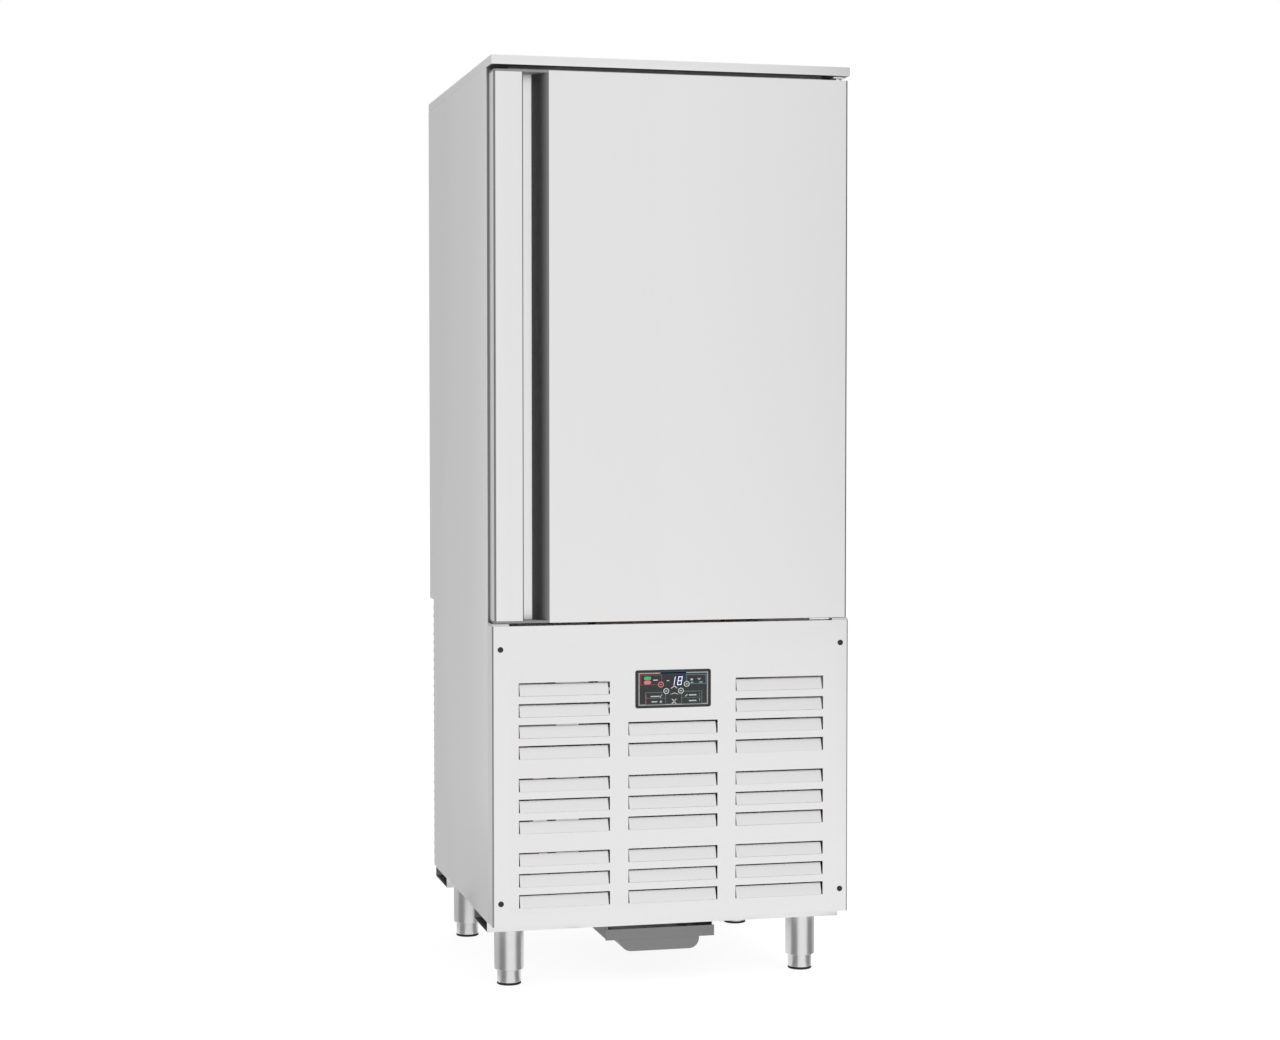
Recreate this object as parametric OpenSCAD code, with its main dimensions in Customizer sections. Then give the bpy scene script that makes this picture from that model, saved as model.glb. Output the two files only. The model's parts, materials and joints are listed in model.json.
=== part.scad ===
// Upright blast chiller: insulated cabinet over a machine compartment, on four adjustable legs.
// Millimetres. Origin on the floor under the middle of the machine: X right, Y back, Z up.

/* [Overall] */
// Width over the side sheets
width = 800; // [740:1:880]
// Depth from the door's front to the rear sheet
depth = 848; // [810:1:930]
// Height from the floor to the top of the slab
height = 2020; // [1940:1:2140]

/* [Cabinet] */
// Insulated wall, outer sheet to chamber
wall_t = 60; // [50:1:70]
// Outer sheet metal
skin_t = 1; // [0.8:0.1:1.5]
// Chamber liner sheet
liner_t = 1; // [0.8:0.1:1.5]
// Height of the top slab
slab_t = 20; // [15:1:30]
// How far the slab and front cover stand back from the door's front
front_setback = 2.5; // [2:0.5:4]
// How far the machine compartment's back stands in from the cabinet's back
rear_step = 55; // [45:1:70]
// Height of the machine compartment, its floor to the cabinet's underside
machine_h = 653; // [630:1:680]
// Width of the plastic frame between liner and face sheet
break_w = 12; // [8:1:16]
// Depth of that frame into the wall
break_d = 14; // [10:1:20]

/* [Door] */
// Thickness of the door, front sheet to inner sheet
door_t = 52; // [48:1:60]
// Space between door and cabinet face, filled by the gasket
door_gap = 5.5; // [5:0.5:8]
// Space beside the door at each edge
door_side = 5; // [3:1:8]
// Space between door and slab
door_top_gap = 10; // [9:0.5:14]
// Space between door and cabinet underside level, filled by the hinge washer
door_low_gap = 1.5; // [1:0.5:2.5]
// Door sheet metal
door_skin_t = 1; // [0.8:0.1:1.5]
// Outer radius of the door's upright corners
door_r = 4; // [3:0.5:6]
// How far the inner sheet's raised middle stands out
dike_h = 9; // [6:0.5:12]
// Width of the gasket
gasket_w = 28; // [22:1:30]

/* [Handle] */
// Width of the flat strip beside the finger recess
strip_w = 64; // [56:1:72]
// Width of the recess opening
recess_w = 56; // [48:1:64]
// Depth of the recess
recess_d = 42; // [36:1:44]
// Width of the recess floor
recess_floor = 26; // [20:1:32]
// Height of each end cap
handle_cap_h = 5; // [4:0.5:8]

/* [Hinge] */
// Radius of the hinge pins
pin_r = 6; // [5:0.5:7]
// Distance of the pins from the door's right edge
pin_inset = 16; // [14:0.5:17]
// Thickness of the hinge plates
hinge_t = 4; // [3:0.5:5]
// Width of the lower hinge plate
low_plate_w = 81; // [70:1:100]
// Width of the upper hinge plate
top_plate_w = 26; // [24:1:40]
// How far the pins reach into the door
pin_reach = 18; // [14:1:19]
// Length of the hinge bushes
bush_l = 20; // [20:1:30]

/* [Front cover] */
// How far the cover's top edge lies under the cabinet's underside
cover_drop = 5; // [5:0.5:8]
// Bend radius at the cover's sides
cover_r = 3; // [2:0.5:4]
// Depth of the cover's top and bottom returns
cover_lip = 20; // [12:1:24]
// Distance of the cover screws from the side
cover_screw_x = 18; // [16:1:24]
// Distance of the cover screws from the cover's top and bottom
cover_screw_z = 50; // [40:1:60]
// Width of one louvre slot
slot_w = 201; // [180:1:210]
// Distance between louvre columns
slot_pitch_x = 242; // [236:1:246]
// Height of one louvre slot
slot_h = 29; // [24:1:34]
// Distance between louvres in a group
slot_pitch_z = 45.4; // [42:0.2:47]
// Gap cut at each side of a louvre
slot_gap = 2.5; // [1.5:0.5:4]
// Slope of the louvres, top edge inward
slot_tilt = 19; // [12:1:25]
// Distance from the compartment floor to the lowest slot's foot
slot_base = 39; // [30:1:44]
// Plain band between two groups of louvres
group_gap = 70; // [66:1:76]

/* [Rear grille] */
// Distance between the rear hoods
hood_pitch = 21.5; // [20:0.5:24]
// How far the hoods stand out
hood_out = 15; // [10:1:18]
// Height of the vent under each hood
vent_h = 8; // [5:0.5:9]

/* [Control panel] */
// Width of the overlay
panel_w = 170; // [150:1:190]
// Height of the overlay
panel_h = 83; // [75:1:90]
// Distance from the cover's top to the overlay's middle
panel_drop = 142.5; // [135:0.5:150]
// Thickness of the overlay
panel_t = 1; // [0.8:0.1:1.2]
// Radius of the round keys
key_r = 7; // [6:0.5:7.5]
// Travel of the keys
key_travel = 0.6; // [0.3:0.1:0.8]

/* [Base and legs] */
// Height of the leg under the base channels
leg_height = 132; // [120:1:160]
// Height of the base channels
channel_h = 24; // [20:1:32]
// Depth of the base channels
channel_d = 160; // [140:1:180]
// Wall of the base channels
channel_t = 2; // [1.5:0.5:3]
// Front channel behind the cover's front
channel_front = 69; // [60:1:80]
// Rear channel before the compartment's back
channel_rear = 25; // [15:1:35]
// Distance of the leg centres from the side
leg_inset = 63.5; // [55:0.5:75]
// Radius of the leg's upper sleeve
sleeve_r = 32.7; // [30:0.1:36]
// Wall of the sleeve
sleeve_t = 2; // [1.5:0.5:3]
// Radius of the foot tube
foot_r = 26.4; // [24:0.1:28]
// Height of the foot that shows under the sleeve
foot_show = 34; // [32:1:45]
// Height of the rubber pad
pad_h = 5; // [4:0.5:8]
// Radius of the foot's threaded stud
stud_r = 8; // [6:0.5:10]

/* [Drip tray] */
// Width of the tray's front apron
apron_w = 250; // [230:1:270]
// Height of the apron
apron_h = 24; // [20:1:30]
// Width of the tray's pan
pan_w = 180; // [160:1:190]
// Depth of the pan below the apron
pan_drop = 26.5; // [20:0.5:32]
// Length of the tray
tray_l = 460; // [380:5:500]
// Tray front behind the cover's front
tray_front = 115; // [100:1:125]
// Drop of the apron's top under the base channels
tray_gap = 17; // [15:0.5:20]
// Radius of the pan's lower edges
pan_r = 23; // [15:1:25]

/* [Chamber] */
// Number of tray levels
levels = 15; // [10:1:15]
// Distance between tray levels
level_pitch = 65; // [60:1:66]
// Width of the trays that the runners take
tray_w = 600; // [560:1:610]
// Depth of the trays that the runners take
tray_d = 400; // [380:1:420]
// Radius of the runner rods
rod_r = 4; // [3:0.5:5]
// Side of the square rack uprights
upright_w = 20; // [16:1:24]
// Height of the lowest runner over the chamber floor
first_level = 70; // [60:1:76]
// Front of the rack behind the cabinet face
rack_front = 30; // [20:1:36]
// Front of the fan panel behind the cabinet face
fan_panel_y = 475; // [470:1:485]
// Radius of the evaporator fans
evap_fan_r = 140; // [120:1:150]
// Depth of the evaporator fins
evap_d = 110; // [90:1:120]
// Distance between the two evaporator fans
evap_fan_pitch = 500; // [440:1:540]

/* [Machine compartment] */
// Radius of the compressor's shell
comp_r = 90; // [80:1:100]
// Height of the compressor's shell
comp_h = 290; // [250:1:330]
// Radius of the condenser fan
cond_fan_r = 165; // [140:1:175]
// Width of the condenser
cond_w = 480; // [440:1:500]
// Height of the condenser
cond_h = 420; // [380:1:440]
// Depth of the condenser
cond_d = 70; // [60:1:90]
// Radius of the liquid receiver
recv_r = 60; // [50:1:70]

/* [Hidden] */

$fn = 48;

// Planes that the pieces share
side_x = width / 2;
inner_x = side_x - skin_t;
front_y = -depth / 2;
back_y = depth / 2;
cover_y = front_y + front_setback;
face_y = front_y + door_t + door_gap;
low_back_y = back_y - rear_step;
floor_z = leg_height + channel_h;
cab_z = floor_z + machine_h;
slab_z = height - slab_t;
cover_top = cab_z - cover_drop;

// Chamber
ch_x = side_x - wall_t;
ch_back = back_y - wall_t;
ch_z0 = cab_z + wall_t;
ch_z1 = slab_z - wall_t;
break_x = ch_x + break_w;
break_z0 = ch_z0 - break_w;
break_z1 = ch_z1 + break_w;
liner_front = face_y + break_d;

// Clearances
slip = 0.3;          // between pieces that move past each other
run_fit = 0.05;      // radial, pins and shafts
screw_fit = 0.1;     // radial, screw shanks

// Door
door_x = side_x - door_side;
door_z0 = cab_z + door_low_gap;
door_z1 = slab_z - door_top_gap;
door_back = front_y + door_t;
strip_x = -door_x + strip_w;
recess_x = strip_x + recess_w;
pin_x = door_x - pin_inset;
pin_y = front_y + door_t / 2;
bush_r = pin_r + 4;
washer_r = pin_r + 6;
door_lip = 14;       // how far the outer sheets turn in behind the door
edge_r = 2.5;        // radius of the strip's edge at the recess
grip_d = 12;         // depth of that edge
grip_w = 10;         // how far the recess runs in behind it
wall_shoulder = 17;  // roundness of the recess wall towards the front
gasket_x = pin_x - 1;
gasket_inset = pin_inset + 1;
gasket_t = door_gap - slip;
dike_x = gasket_x - gasket_w - 18;
dike_inset = door_x - dike_x;

// Screws
screw_head_r = 6.2;
screw_head_h = 2;
screw_r = 2.5;
screw_l = 16;
cover_screw_zs = [floor_z + cover_screw_z, cover_top - cover_screw_z];
hinge_screw_xs = [pin_x - 50, pin_x - 25];
hinge_screw_y = face_y + 30;
hinge_plate_back = face_y + 55;
top_screw_y = pin_y + 15;

// Louvres: rows counted upward from the lowest, three groups
group_rows = [3, 3, 4];
slot_bases = [
    for (g = [0:2], r = [0:group_rows[g] - 1])
        floor_z + slot_base + r * slot_pitch_z
            + (g > 0 ? (group_rows[0] - 1) * slot_pitch_z + group_gap : 0)
            + (g > 1 ? (group_rows[1] - 1) * slot_pitch_z + group_gap : 0)
];
panel_z = cover_top - panel_drop;
middle_rows = 8;     // rows of the middle column, under the control panel
seam = 0.1;          // how far the cover's returns start inside its front sheet
louvre_foot = 1;     // how far a louvre reaches into the sheet under its slot

// Control panel
housing_d = 42;
housing_w = panel_w - 24;
housing_h = panel_h - 19;
pocket_r = key_r + slip;
pocket_d = key_travel + 1.4;
keys = [[-28, 9.5], [30, 9.5], [-16, -5], [17, -5]];

// Base and legs
channel_y0 = cover_y + channel_front;
channel_y1 = low_back_y - channel_rear - channel_d;
leg_x = side_x - leg_inset;
leg_ys = [channel_y0 + channel_d / 2, channel_y1 + channel_d / 2];
floor_t = 2;
sleeve_top = 4;
nut_h = 24;
collar_h = 8;
foot_up = 20;        // how far a foot screws in
pad_fit = 0.1;       // joint between pad and tube
foot_tube_top = leg_height - sleeve_top - nut_h - foot_up - 4;

// Drip tray
tray_y0 = cover_y + tray_front;
apron_top = leg_height - tray_gap;
apron_z = apron_top - apron_h;
pan_z = apron_z - pan_drop;
rail_x = apron_w / 2 - 4;
rail_t = 2;
rail_foot = 18;
rim_z = apron_z + rail_t + slip;
tray_t = 1.5;

// Chamber pieces
rack_y0 = face_y + rack_front;
rack_y1 = rack_y0 + tray_d;
tray_play = 5;       // from a tray's edge to the uprights
upright_x = tray_w / 2 + tray_play;
rod_x = tray_w / 2 - 12;
level_zs = [for (i = [0:levels - 1]) ch_z0 + first_level + i * level_pitch];
panel_y = face_y + fan_panel_y;
panel_sheet = 1.5;
fan_mid_z = (ch_z0 + ch_z1) / 2 + 20;
evap_fan_zs = [fan_mid_z - evap_fan_pitch / 2, fan_mid_z + evap_fan_pitch / 2];
guard_r = evap_fan_r + 18;
motor_r = 38;
evap_motor_l = 30;
collar_d = 44;
shaft_r = 5;
evap_y1 = ch_back - 12;
evap_y0 = evap_y1 - evap_d;
coil_side = 45;       // from the chamber's wall to the coil's fins
evap_x = ch_x - coil_side;
evap_plate = 1.5;
drain_pan_z = ch_z0 + 4;
evap_z0 = drain_pan_z + 34;
coil_head = 40;       // room over the coil
evap_z1 = ch_z1 - coil_head;
drain_x = -60;
drain_y = evap_y0 + 10;
drain_r = 10;
pipe_x = evap_x + 23;
suction_y = evap_y0 + 8;
liquid_y = evap_y0 + 68;
weld_gap = 0.2;      // where a pipe's end meets what it is brazed to

// Machine compartment pieces
deck_z = floor_z + floor_t;
cond_x0 = -170;
cond_y0 = cover_y + 66;
cond_y1 = cond_y0 + cond_d;
cond_z1 = deck_z + cond_h;
cond_mid_x = cond_x0 + cond_w / 2;
cond_mid_z = deck_z + cond_h / 2;
shroud_d = 60;
shroud_t = 1.2;
cond_motor_l = 60;
cond_motor_r = 45;
comp_x = 190;
comp_y = low_back_y - 244;
mount_h = 22;
mount_x = 90;
mount_y = 70;
foot_plate_t = 4;
comp_z = deck_z + mount_h + foot_plate_t;
recv_x = -250;
recv_y = low_back_y - 179;
recv_z = deck_z + 12;
recv_h = 260;
recv_wall = 4;
suction_r = 10;
line_r = 5;
box_x0 = -inner_x + 26;
box_x1 = -256;
box_y0 = cover_y + 32;
box_y1 = box_y0 + 90;
box_z1 = cab_z - 141;
box_z0 = box_z1 - 108;
gland_x = -160;
gland_y = low_back_y - 259;
gland_r = 12;
gland_bore = 6.5;
drain_turn = 40;      // depth under the cabinet at which the drain turns
liquid_turn = 70;     // and the liquid line
hose_z = 10;         // gap from the drain pipe's mouth to the tray's rim
drain_wall = 1.5;
drain_out_y = tray_y0 + tray_l - 50;

// ---- helpers ----

// A box between two corners
module block(x, y, z)
    translate([x[0], y[0], z[0]]) cube([x[1] - x[0], y[1] - y[0], z[1] - z[0]]);

// A flat-walled ring in the XZ plane: half width x, heights z, ring width w, depth y
module ring_xz(x, z, w, y)
    difference() {
        block([-x, x], y, z);
        block([-x + w, x - w], [y[0] - 1, y[1] + 1], [z[0] + w, z[1] - w]);
    }

// Round bars along each axis
module bar_y(x, z, y, r) translate([x, y[0], z]) rotate([-90, 0, 0]) cylinder(r = r, h = y[1] - y[0]);
module bar_x(y, z, x, r) translate([x[0], y, z]) rotate([0, 90, 0]) cylinder(r = r, h = x[1] - x[0]);
module bar_z(x, y, z, r) translate([x, y, z[0]]) cylinder(r = r, h = z[1] - z[0]);

// Points of an arc
function arc(c, r, a0, a1, n) =
    [for (i = [0:n]) let (a = a0 + (a1 - a0) * i / n) c + r * [cos(a), sin(a)]];

function unit(v) = v / norm(v);
function left_of(v) = [-v[1], v[0]];

// The point of a path moved sideways by d, mitred between its two edges
function shifted(p, i, d) =
    let (
        n = len(p),
        a = left_of(unit(p[i == 0 ? 1 : i] - p[i == 0 ? 0 : i - 1])),
        b = left_of(unit(p[i == n - 1 ? n - 1 : i + 1] - p[i == n - 1 ? n - 2 : i]))
    ) p[i] + (a + b) * d / (1 + a * b);
function beside(p, d) = [for (i = [0:len(p) - 1]) shifted(p, i, d)];
function backward(p) = [for (i = [len(p) - 1:-1:0]) p[i]];

// Sheet metal along a path, thickness t to the path's left
module sheet(path, t) polygon(concat(path, backward(beside(path, t))));

module screw_y(x, y, z, dir)
    translate([x, y, z]) rotate([dir * 90, 0, 0]) {
        cylinder(r = screw_head_r, h = screw_head_h);
        translate([0, 0, -screw_l]) cylinder(r = screw_r, h = screw_l);
    }
module screw_hole_y(x, y, z) bar_y(x, z, [y - screw_l - 1, y + screw_l + 1], screw_r + screw_fit);
module screw_up(x, y, z) {
    bar_z(x, y, [z - screw_head_h, z], screw_head_r);
    bar_z(x, y, [z, z + screw_l], screw_r);
}
module screw_hole_up(x, y, z) bar_z(x, y, [z - 1, z + screw_l + 0.5], screw_r + screw_fit);

// The four screws of the front cover, and those of the rear grille behind them
module corner_screw_places()
    for (sx = [-1, 1], z = cover_screw_zs) translate([sx * (side_x - cover_screw_x), 0, z]) children();

// Holes of what passes through the cabinet floor: suction pipe, liquid pipe and drain
module floor_passages(gap) {
    bar_z(pipe_x, suction_y, [cab_z - 1, ch_z0 + 1], suction_r + gap);
    bar_z(pipe_x, liquid_y, [cab_z - 1, ch_z0 + 1], line_r + gap);
    bar_z(drain_x, drain_y, [cab_z - 1, ch_z0 + 1], drain_r + gap);
}
module lower_hinge_holes()
    for (x = hinge_screw_xs) screw_hole_up(x, hinge_screw_y, cab_z - hinge_t);

// ---- cabinet ----

module top_slab()
    color([0.89, 0.89, 0.89]) difference() {
        block([-side_x, side_x], [cover_y, back_y], [slab_z, height]);
        block([-inner_x, inner_x], [cover_y + skin_t, back_y - skin_t], [slab_z + skin_t, height - skin_t]);
        block([-inner_x, inner_x], [face_y + 20, back_y - skin_t], [slab_z - 1, slab_z + skin_t + 1]);
        screw_hole_up(pin_x, top_screw_y, slab_z - hinge_t);
    }

module cabinet_top_skin()
    color([0.72, 0.73, 0.74]) {
        block([-inner_x, inner_x], [face_y + skin_t, back_y - skin_t], [slab_z - skin_t, slab_z]);
        block([-break_x, break_x], [face_y, face_y + skin_t], [break_z1, slab_z]);
    }

module cabinet_bottom_skin()
    color([0.72, 0.73, 0.74]) difference() {
        union() {
            block([-inner_x, inner_x], [face_y + skin_t, back_y - skin_t], [cab_z, cab_z + skin_t]);
            block([-break_x, break_x], [face_y, face_y + skin_t], [cab_z, break_z0]);
        }
        floor_passages(slip);
        lower_hinge_holes();
    }

module side_skin(s) {
    outline = [
        [face_y, floor_z], [low_back_y, floor_z], [low_back_y, cab_z],
        [back_y, cab_z], [back_y, slab_z], [face_y, slab_z]
    ];
    color([0.76, 0.76, 0.76]) {
        translate([s > 0 ? side_x : -inner_x, 0, 0]) rotate([90, 0, -90])
            linear_extrude(skin_t) polygon([for (p = outline) [-p[0], p[1]]]);
        block(s > 0 ? [break_x, inner_x] : [-inner_x, -break_x], [face_y, face_y + skin_t], [cab_z, slab_z]);
    }
}

module rear_skin()
    color([0.74, 0.74, 0.74]) block([-inner_x, inner_x], [back_y - skin_t, back_y], [cab_z, slab_z]);

module cabinet_foam()
    color([0.93, 0.88, 0.70]) difference() {
        block([-inner_x, inner_x], [face_y + skin_t, back_y - skin_t], [cab_z + skin_t, slab_z - skin_t]);
        block([-ch_x - liner_t, ch_x + liner_t], [face_y, ch_back + liner_t],
              [ch_z0 - liner_t, ch_z1 + liner_t]);
        block([-break_x, break_x], [face_y, liner_front], [break_z0, break_z1]);
        floor_passages(slip);
        lower_hinge_holes();
    }

module inner_liner()
    color([0.83, 0.83, 0.84]) difference() {
        block([-ch_x - liner_t, ch_x + liner_t], [liner_front, ch_back + liner_t],
              [ch_z0 - liner_t, ch_z1 + liner_t]);
        block([-ch_x, ch_x], [liner_front - 1, ch_back], [ch_z0, ch_z1]);
        floor_passages(slip);
    }

module thermal_break_frame()
    color([0.30, 0.31, 0.32]) ring_xz(break_x, [break_z0, break_z1], break_w, [face_y, liner_front]);

module hinge_bracket_bottom()
    color([0.86, 0.86, 0.87]) {
        difference() {
            block([door_x - low_plate_w, door_x], [pin_y - washer_r, hinge_plate_back],
                  [cab_z - hinge_t, cab_z]);
            lower_hinge_holes();
        }
        bar_z(pin_x, pin_y, [cab_z, door_z0 + pin_reach], pin_r);
    }

module hinge_bracket_top()
    color([0.86, 0.86, 0.87]) {
        difference() {
            block([pin_x - top_plate_w / 2, pin_x + top_plate_w / 2], [pin_y - washer_r, face_y],
                  [slab_z - hinge_t, slab_z]);
            screw_hole_up(pin_x, top_screw_y, slab_z - hinge_t);
        }
        block([pin_x - top_plate_w / 2, pin_x + top_plate_w / 2], [face_y - hinge_t, face_y],
              [door_z1 + 1, slab_z - hinge_t]);
        bar_z(pin_x, pin_y, [door_z1 - pin_reach, slab_z - hinge_t], pin_r);
    }

module cabinet_screws()
    color([0.62, 0.62, 0.64]) {
        for (x = hinge_screw_xs) screw_up(x, hinge_screw_y, cab_z - hinge_t);
        screw_up(pin_x, top_screw_y, slab_z - hinge_t);
        corner_screw_places() screw_y(0, low_back_y, 0, -1);
    }

// ---- base and machine frame ----

module base_channel(y0)
    difference() {
        block([-side_x, side_x], [y0, y0 + channel_d], [leg_height, floor_z]);
        block([-side_x - 1, side_x + 1], [y0 + channel_t, y0 + channel_d - channel_t],
              [leg_height + channel_t, floor_z - channel_t]);
        for (sx = [-1, 1])
            bar_z(sx * leg_x, y0 + channel_d / 2, [leg_height - 1, leg_height + channel_t + 1], stud_r + 1);
    }

module base_channels()
    color([0.70, 0.70, 0.71]) for (y0 = [channel_y0, channel_y1]) base_channel(y0);

module machine_floor()
    color([0.70, 0.71, 0.72]) difference() {
        block([-inner_x, inner_x], [cover_y + cover_lip, low_back_y - skin_t], [floor_z, deck_z]);
        bar_z(gland_x, gland_y, [floor_z - 1, deck_z + 1], gland_r + slip / 2);
        bar_z(drain_x, drain_out_y, [floor_z - 1, deck_z + 1], drain_r + slip);
    }

post_t = 1.5;
post_w = 36;

module front_post(s) {
    top = cab_z;
    y0 = cover_y + skin_t;
    mirror([s > 0 ? 0 : 1, 0, 0]) difference() {
        union() {
            block([inner_x - post_w, inner_x], [y0, y0 + post_t], [deck_z, top]);
            block([inner_x - post_t, inner_x], [y0 + post_t, face_y + 40], [deck_z, top]);
            block([inner_x - post_w / 2, inner_x - post_t], [face_y + 40 - post_t, face_y + 40],
                  [deck_z, top]);
        }
        for (z = cover_screw_zs) screw_hole_y(side_x - cover_screw_x, cover_y, z);
    }
}

module rear_post(s) {
    y1 = low_back_y - skin_t;
    mirror([s > 0 ? 0 : 1, 0, 0]) difference() {
        union() {
            block([inner_x - post_w, inner_x], [y1 - post_t, y1], [deck_z, cab_z]);
            block([inner_x - post_t, inner_x], [y1 - post_w, y1 - post_t], [deck_z, cab_z]);
        }
        for (z = cover_screw_zs) screw_hole_y(side_x - cover_screw_x, low_back_y, z);
    }
}

module corner_posts()
    color([0.70, 0.71, 0.72]) {
        front_post(-1);
        difference() {
            front_post(1);
            block([door_x - low_plate_w - 1, door_x + slip], [pin_y - washer_r - 1, hinge_plate_back + slip],
                  [cab_z - hinge_t - slip, cab_z + 1]);
        }
        rear_post(-1);
        rear_post(1);
    }

// ---- front cover ----

module slot_places()
    for (c = [-1:1], i = [0:(c == 0 ? middle_rows : len(slot_bases)) - 1])
        translate([c * slot_pitch_x, 0, slot_bases[i]]) children();

// A louvre: the sheet folds inward at the slot's foot
module louvre() {
    tip = (slot_h - slot_gap) * [sin(slot_tilt), cos(slot_tilt)];
    back = skin_t * [cos(slot_tilt), -sin(slot_tilt)];
    profile = [
        [0, -louvre_foot], [0, 0], tip, tip + back, [skin_t, -skin_t * tan(slot_tilt / 2)],
        [skin_t, -louvre_foot]
    ];
    translate([slot_w / 2 - slot_gap, cover_y, 0]) rotate([90, 0, -90])
        linear_extrude(slot_w - 2 * slot_gap) polygon([for (p = profile) [-p[0], p[1]]]);
}

module front_cover() {
    path = concat(
        [[-side_x, face_y]],
        arc([-side_x + cover_r, cover_y + cover_r], cover_r, 180, 270, 4),
        arc([side_x - cover_r, cover_y + cover_r], cover_r, 270, 360, 4),
        [[side_x, face_y]]
    );
    color([0.87, 0.87, 0.87]) {
        difference() {
            union() {
                translate([0, 0, floor_z]) linear_extrude(cover_top - floor_z) sheet(path, skin_t);
                for (z = [floor_z, cover_top - skin_t])
                    block([-inner_x, inner_x], [cover_y + skin_t - seam, cover_y + cover_lip],
                          [z, z + skin_t]);
            }
            slot_places() block([-slot_w / 2, slot_w / 2], [cover_y - 1, cover_y + 3], [0, slot_h]);
            corner_screw_places() screw_hole_y(0, cover_y, 0);
            block([-housing_w / 2 - slip, housing_w / 2 + slip], [cover_y - 1, cover_y + 3],
                  [panel_z - housing_h / 2 - slip, panel_z + housing_h / 2 + slip]);
            for (sx = [-1, 1])
                block(sx > 0 ? [inner_x - post_w - slip, inner_x] : [-inner_x, -inner_x + post_w + slip],
                      [cover_y + skin_t, cover_y + cover_lip + 1], [deck_z, cover_top + 1]);
        }
        slot_places() louvre();
    }
}

module front_cover_screws()
    color([0.06, 0.06, 0.06]) corner_screw_places() screw_y(0, cover_y, 0, 1);

// ---- rear grille ----

hood_top = 8;
hood_drop = 15;
hood_count = floor((machine_h - hood_top + 1) / hood_pitch);
vent_xs = [[-inner_x + 45, -12], [12, inner_x - 45]];

// A hood: a thin plate that slopes out and down from the sheet
module hood()
    translate([inner_x, low_back_y - skin_t / 2, 0]) rotate([90, 0, -90])
        linear_extrude(2 * inner_x) polygon([
            [0, 0], [-hood_out, -hood_drop], [-hood_out, -hood_drop - skin_t], [0, -skin_t]
        ]);

module hood_places()
    for (i = [0:hood_count - 1]) translate([0, 0, cab_z - hood_top - i * hood_pitch]) children();

module rear_grille()
    color([0.74, 0.74, 0.75]) {
        difference() {
            block([-inner_x, inner_x], [low_back_y - skin_t, low_back_y], [floor_z, cab_z]);
            hood_places()
                for (x = vent_xs) block(x, [low_back_y - 3, low_back_y + 3], [-vent_h - 4, -4]);
            corner_screw_places() screw_hole_y(0, low_back_y, 0);
        }
        difference() {
            hood_places() hood();
            corner_screw_places() bar_y(0, 0, [low_back_y - 1, low_back_y + hood_out + 1], screw_head_r + 1);
        }
    }

// ---- control panel ----

module key_places() for (k = keys) translate([k[0], 0, panel_z + k[1]]) children();

module control_housing()
    color([0.12, 0.12, 0.13]) difference() {
        block([-housing_w / 2, housing_w / 2], [cover_y, cover_y + housing_d],
              [panel_z - housing_h / 2, panel_z + housing_h / 2]);
        block([-housing_w / 2 + 2, housing_w / 2 - 2], [cover_y + 4, cover_y + housing_d - 2],
              [panel_z - housing_h / 2 + 2, panel_z + housing_h / 2 - 2]);
        key_places() bar_y(0, 0, [cover_y - 1, cover_y + pocket_d], pocket_r);
    }

module control_overlay()
    color([0.05, 0.05, 0.06]) difference() {
        translate([0, cover_y, panel_z]) rotate([90, 0, 0]) linear_extrude(panel_t)
            rounded_plate(panel_w, panel_h, 5);
        key_places() bar_y(0, 0, [cover_y - panel_t - 1, cover_y + 1], pocket_r);
    }

// A flat plate with round corners, made of exact arcs
module rounded_plate(w, h, r)
    union() {
        square([w - 2 * r, h], center = true);
        square([w, h - 2 * r], center = true);
        for (sx = [-1, 1], sy = [-1, 1]) translate([sx * (w / 2 - r), sy * (h / 2 - r)]) circle(r = r);
    }

module key(i)
    color([0.12, 0.12, 0.13])
        bar_y(keys[i][0], panel_z + keys[i][1],
              [cover_y - panel_t - 0.3, cover_y + pocket_d - key_travel - 0.2],
              key_r);

// ---- legs ----

module leg_sleeve()
    difference() {
        rotate_extrude() polygon(concat(
            [[0, leg_height], [0, leg_height - sleeve_top - nut_h],
             [stud_r + 6, leg_height - sleeve_top - nut_h],
             [stud_r + 6, leg_height - sleeve_top], [sleeve_r - sleeve_t, leg_height - sleeve_top],
             [sleeve_r - sleeve_t, foot_show + collar_h], [foot_r + slip, foot_show + collar_h],
             [foot_r + slip, foot_show]],
            arc([sleeve_r - 2, foot_show + 2], 2, 270, 360, 4),
            [[sleeve_r, leg_height]]
        ));
        bar_z(0, 0, [foot_show, leg_height + 1], stud_r + run_fit);
    }

module leg_sleeves()
    color([0.78, 0.78, 0.79])
        for (sx = [-1, 1], y = leg_ys) translate([sx * leg_x, y, 0]) leg_sleeve();

module foot(sx, j)
    translate([sx * leg_x, leg_ys[j], 0]) {
        color([0.78, 0.78, 0.79]) difference() {
            union() {
                bar_z(0, 0, [pad_h, foot_tube_top], foot_r);
                bar_z(0, 0, [foot_tube_top, leg_height], stud_r);
            }
            bar_z(0, 0, [pad_h + 3, foot_tube_top - 6], foot_r - 3);
        }
        color([0.08, 0.08, 0.08]) bar_z(0, 0, [0, pad_h - pad_fit], foot_r + 0.6);
    }

// ---- drip tray ----

module tray_rail(s)
    mirror([s > 0 ? 0 : 1, 0, 0]) {
        block([rail_x - rail_t, rail_x], [tray_y0 + 2, channel_y1 + channel_d], [apron_z, leg_height]);
        block([rail_x - rail_foot, rail_x - rail_t], [tray_y0 + 2, channel_y1 + channel_d],
              [apron_z, apron_z + rail_t]);
    }

module tray_rails() color([0.55, 0.55, 0.56]) { tray_rail(-1); tray_rail(1); }

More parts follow.
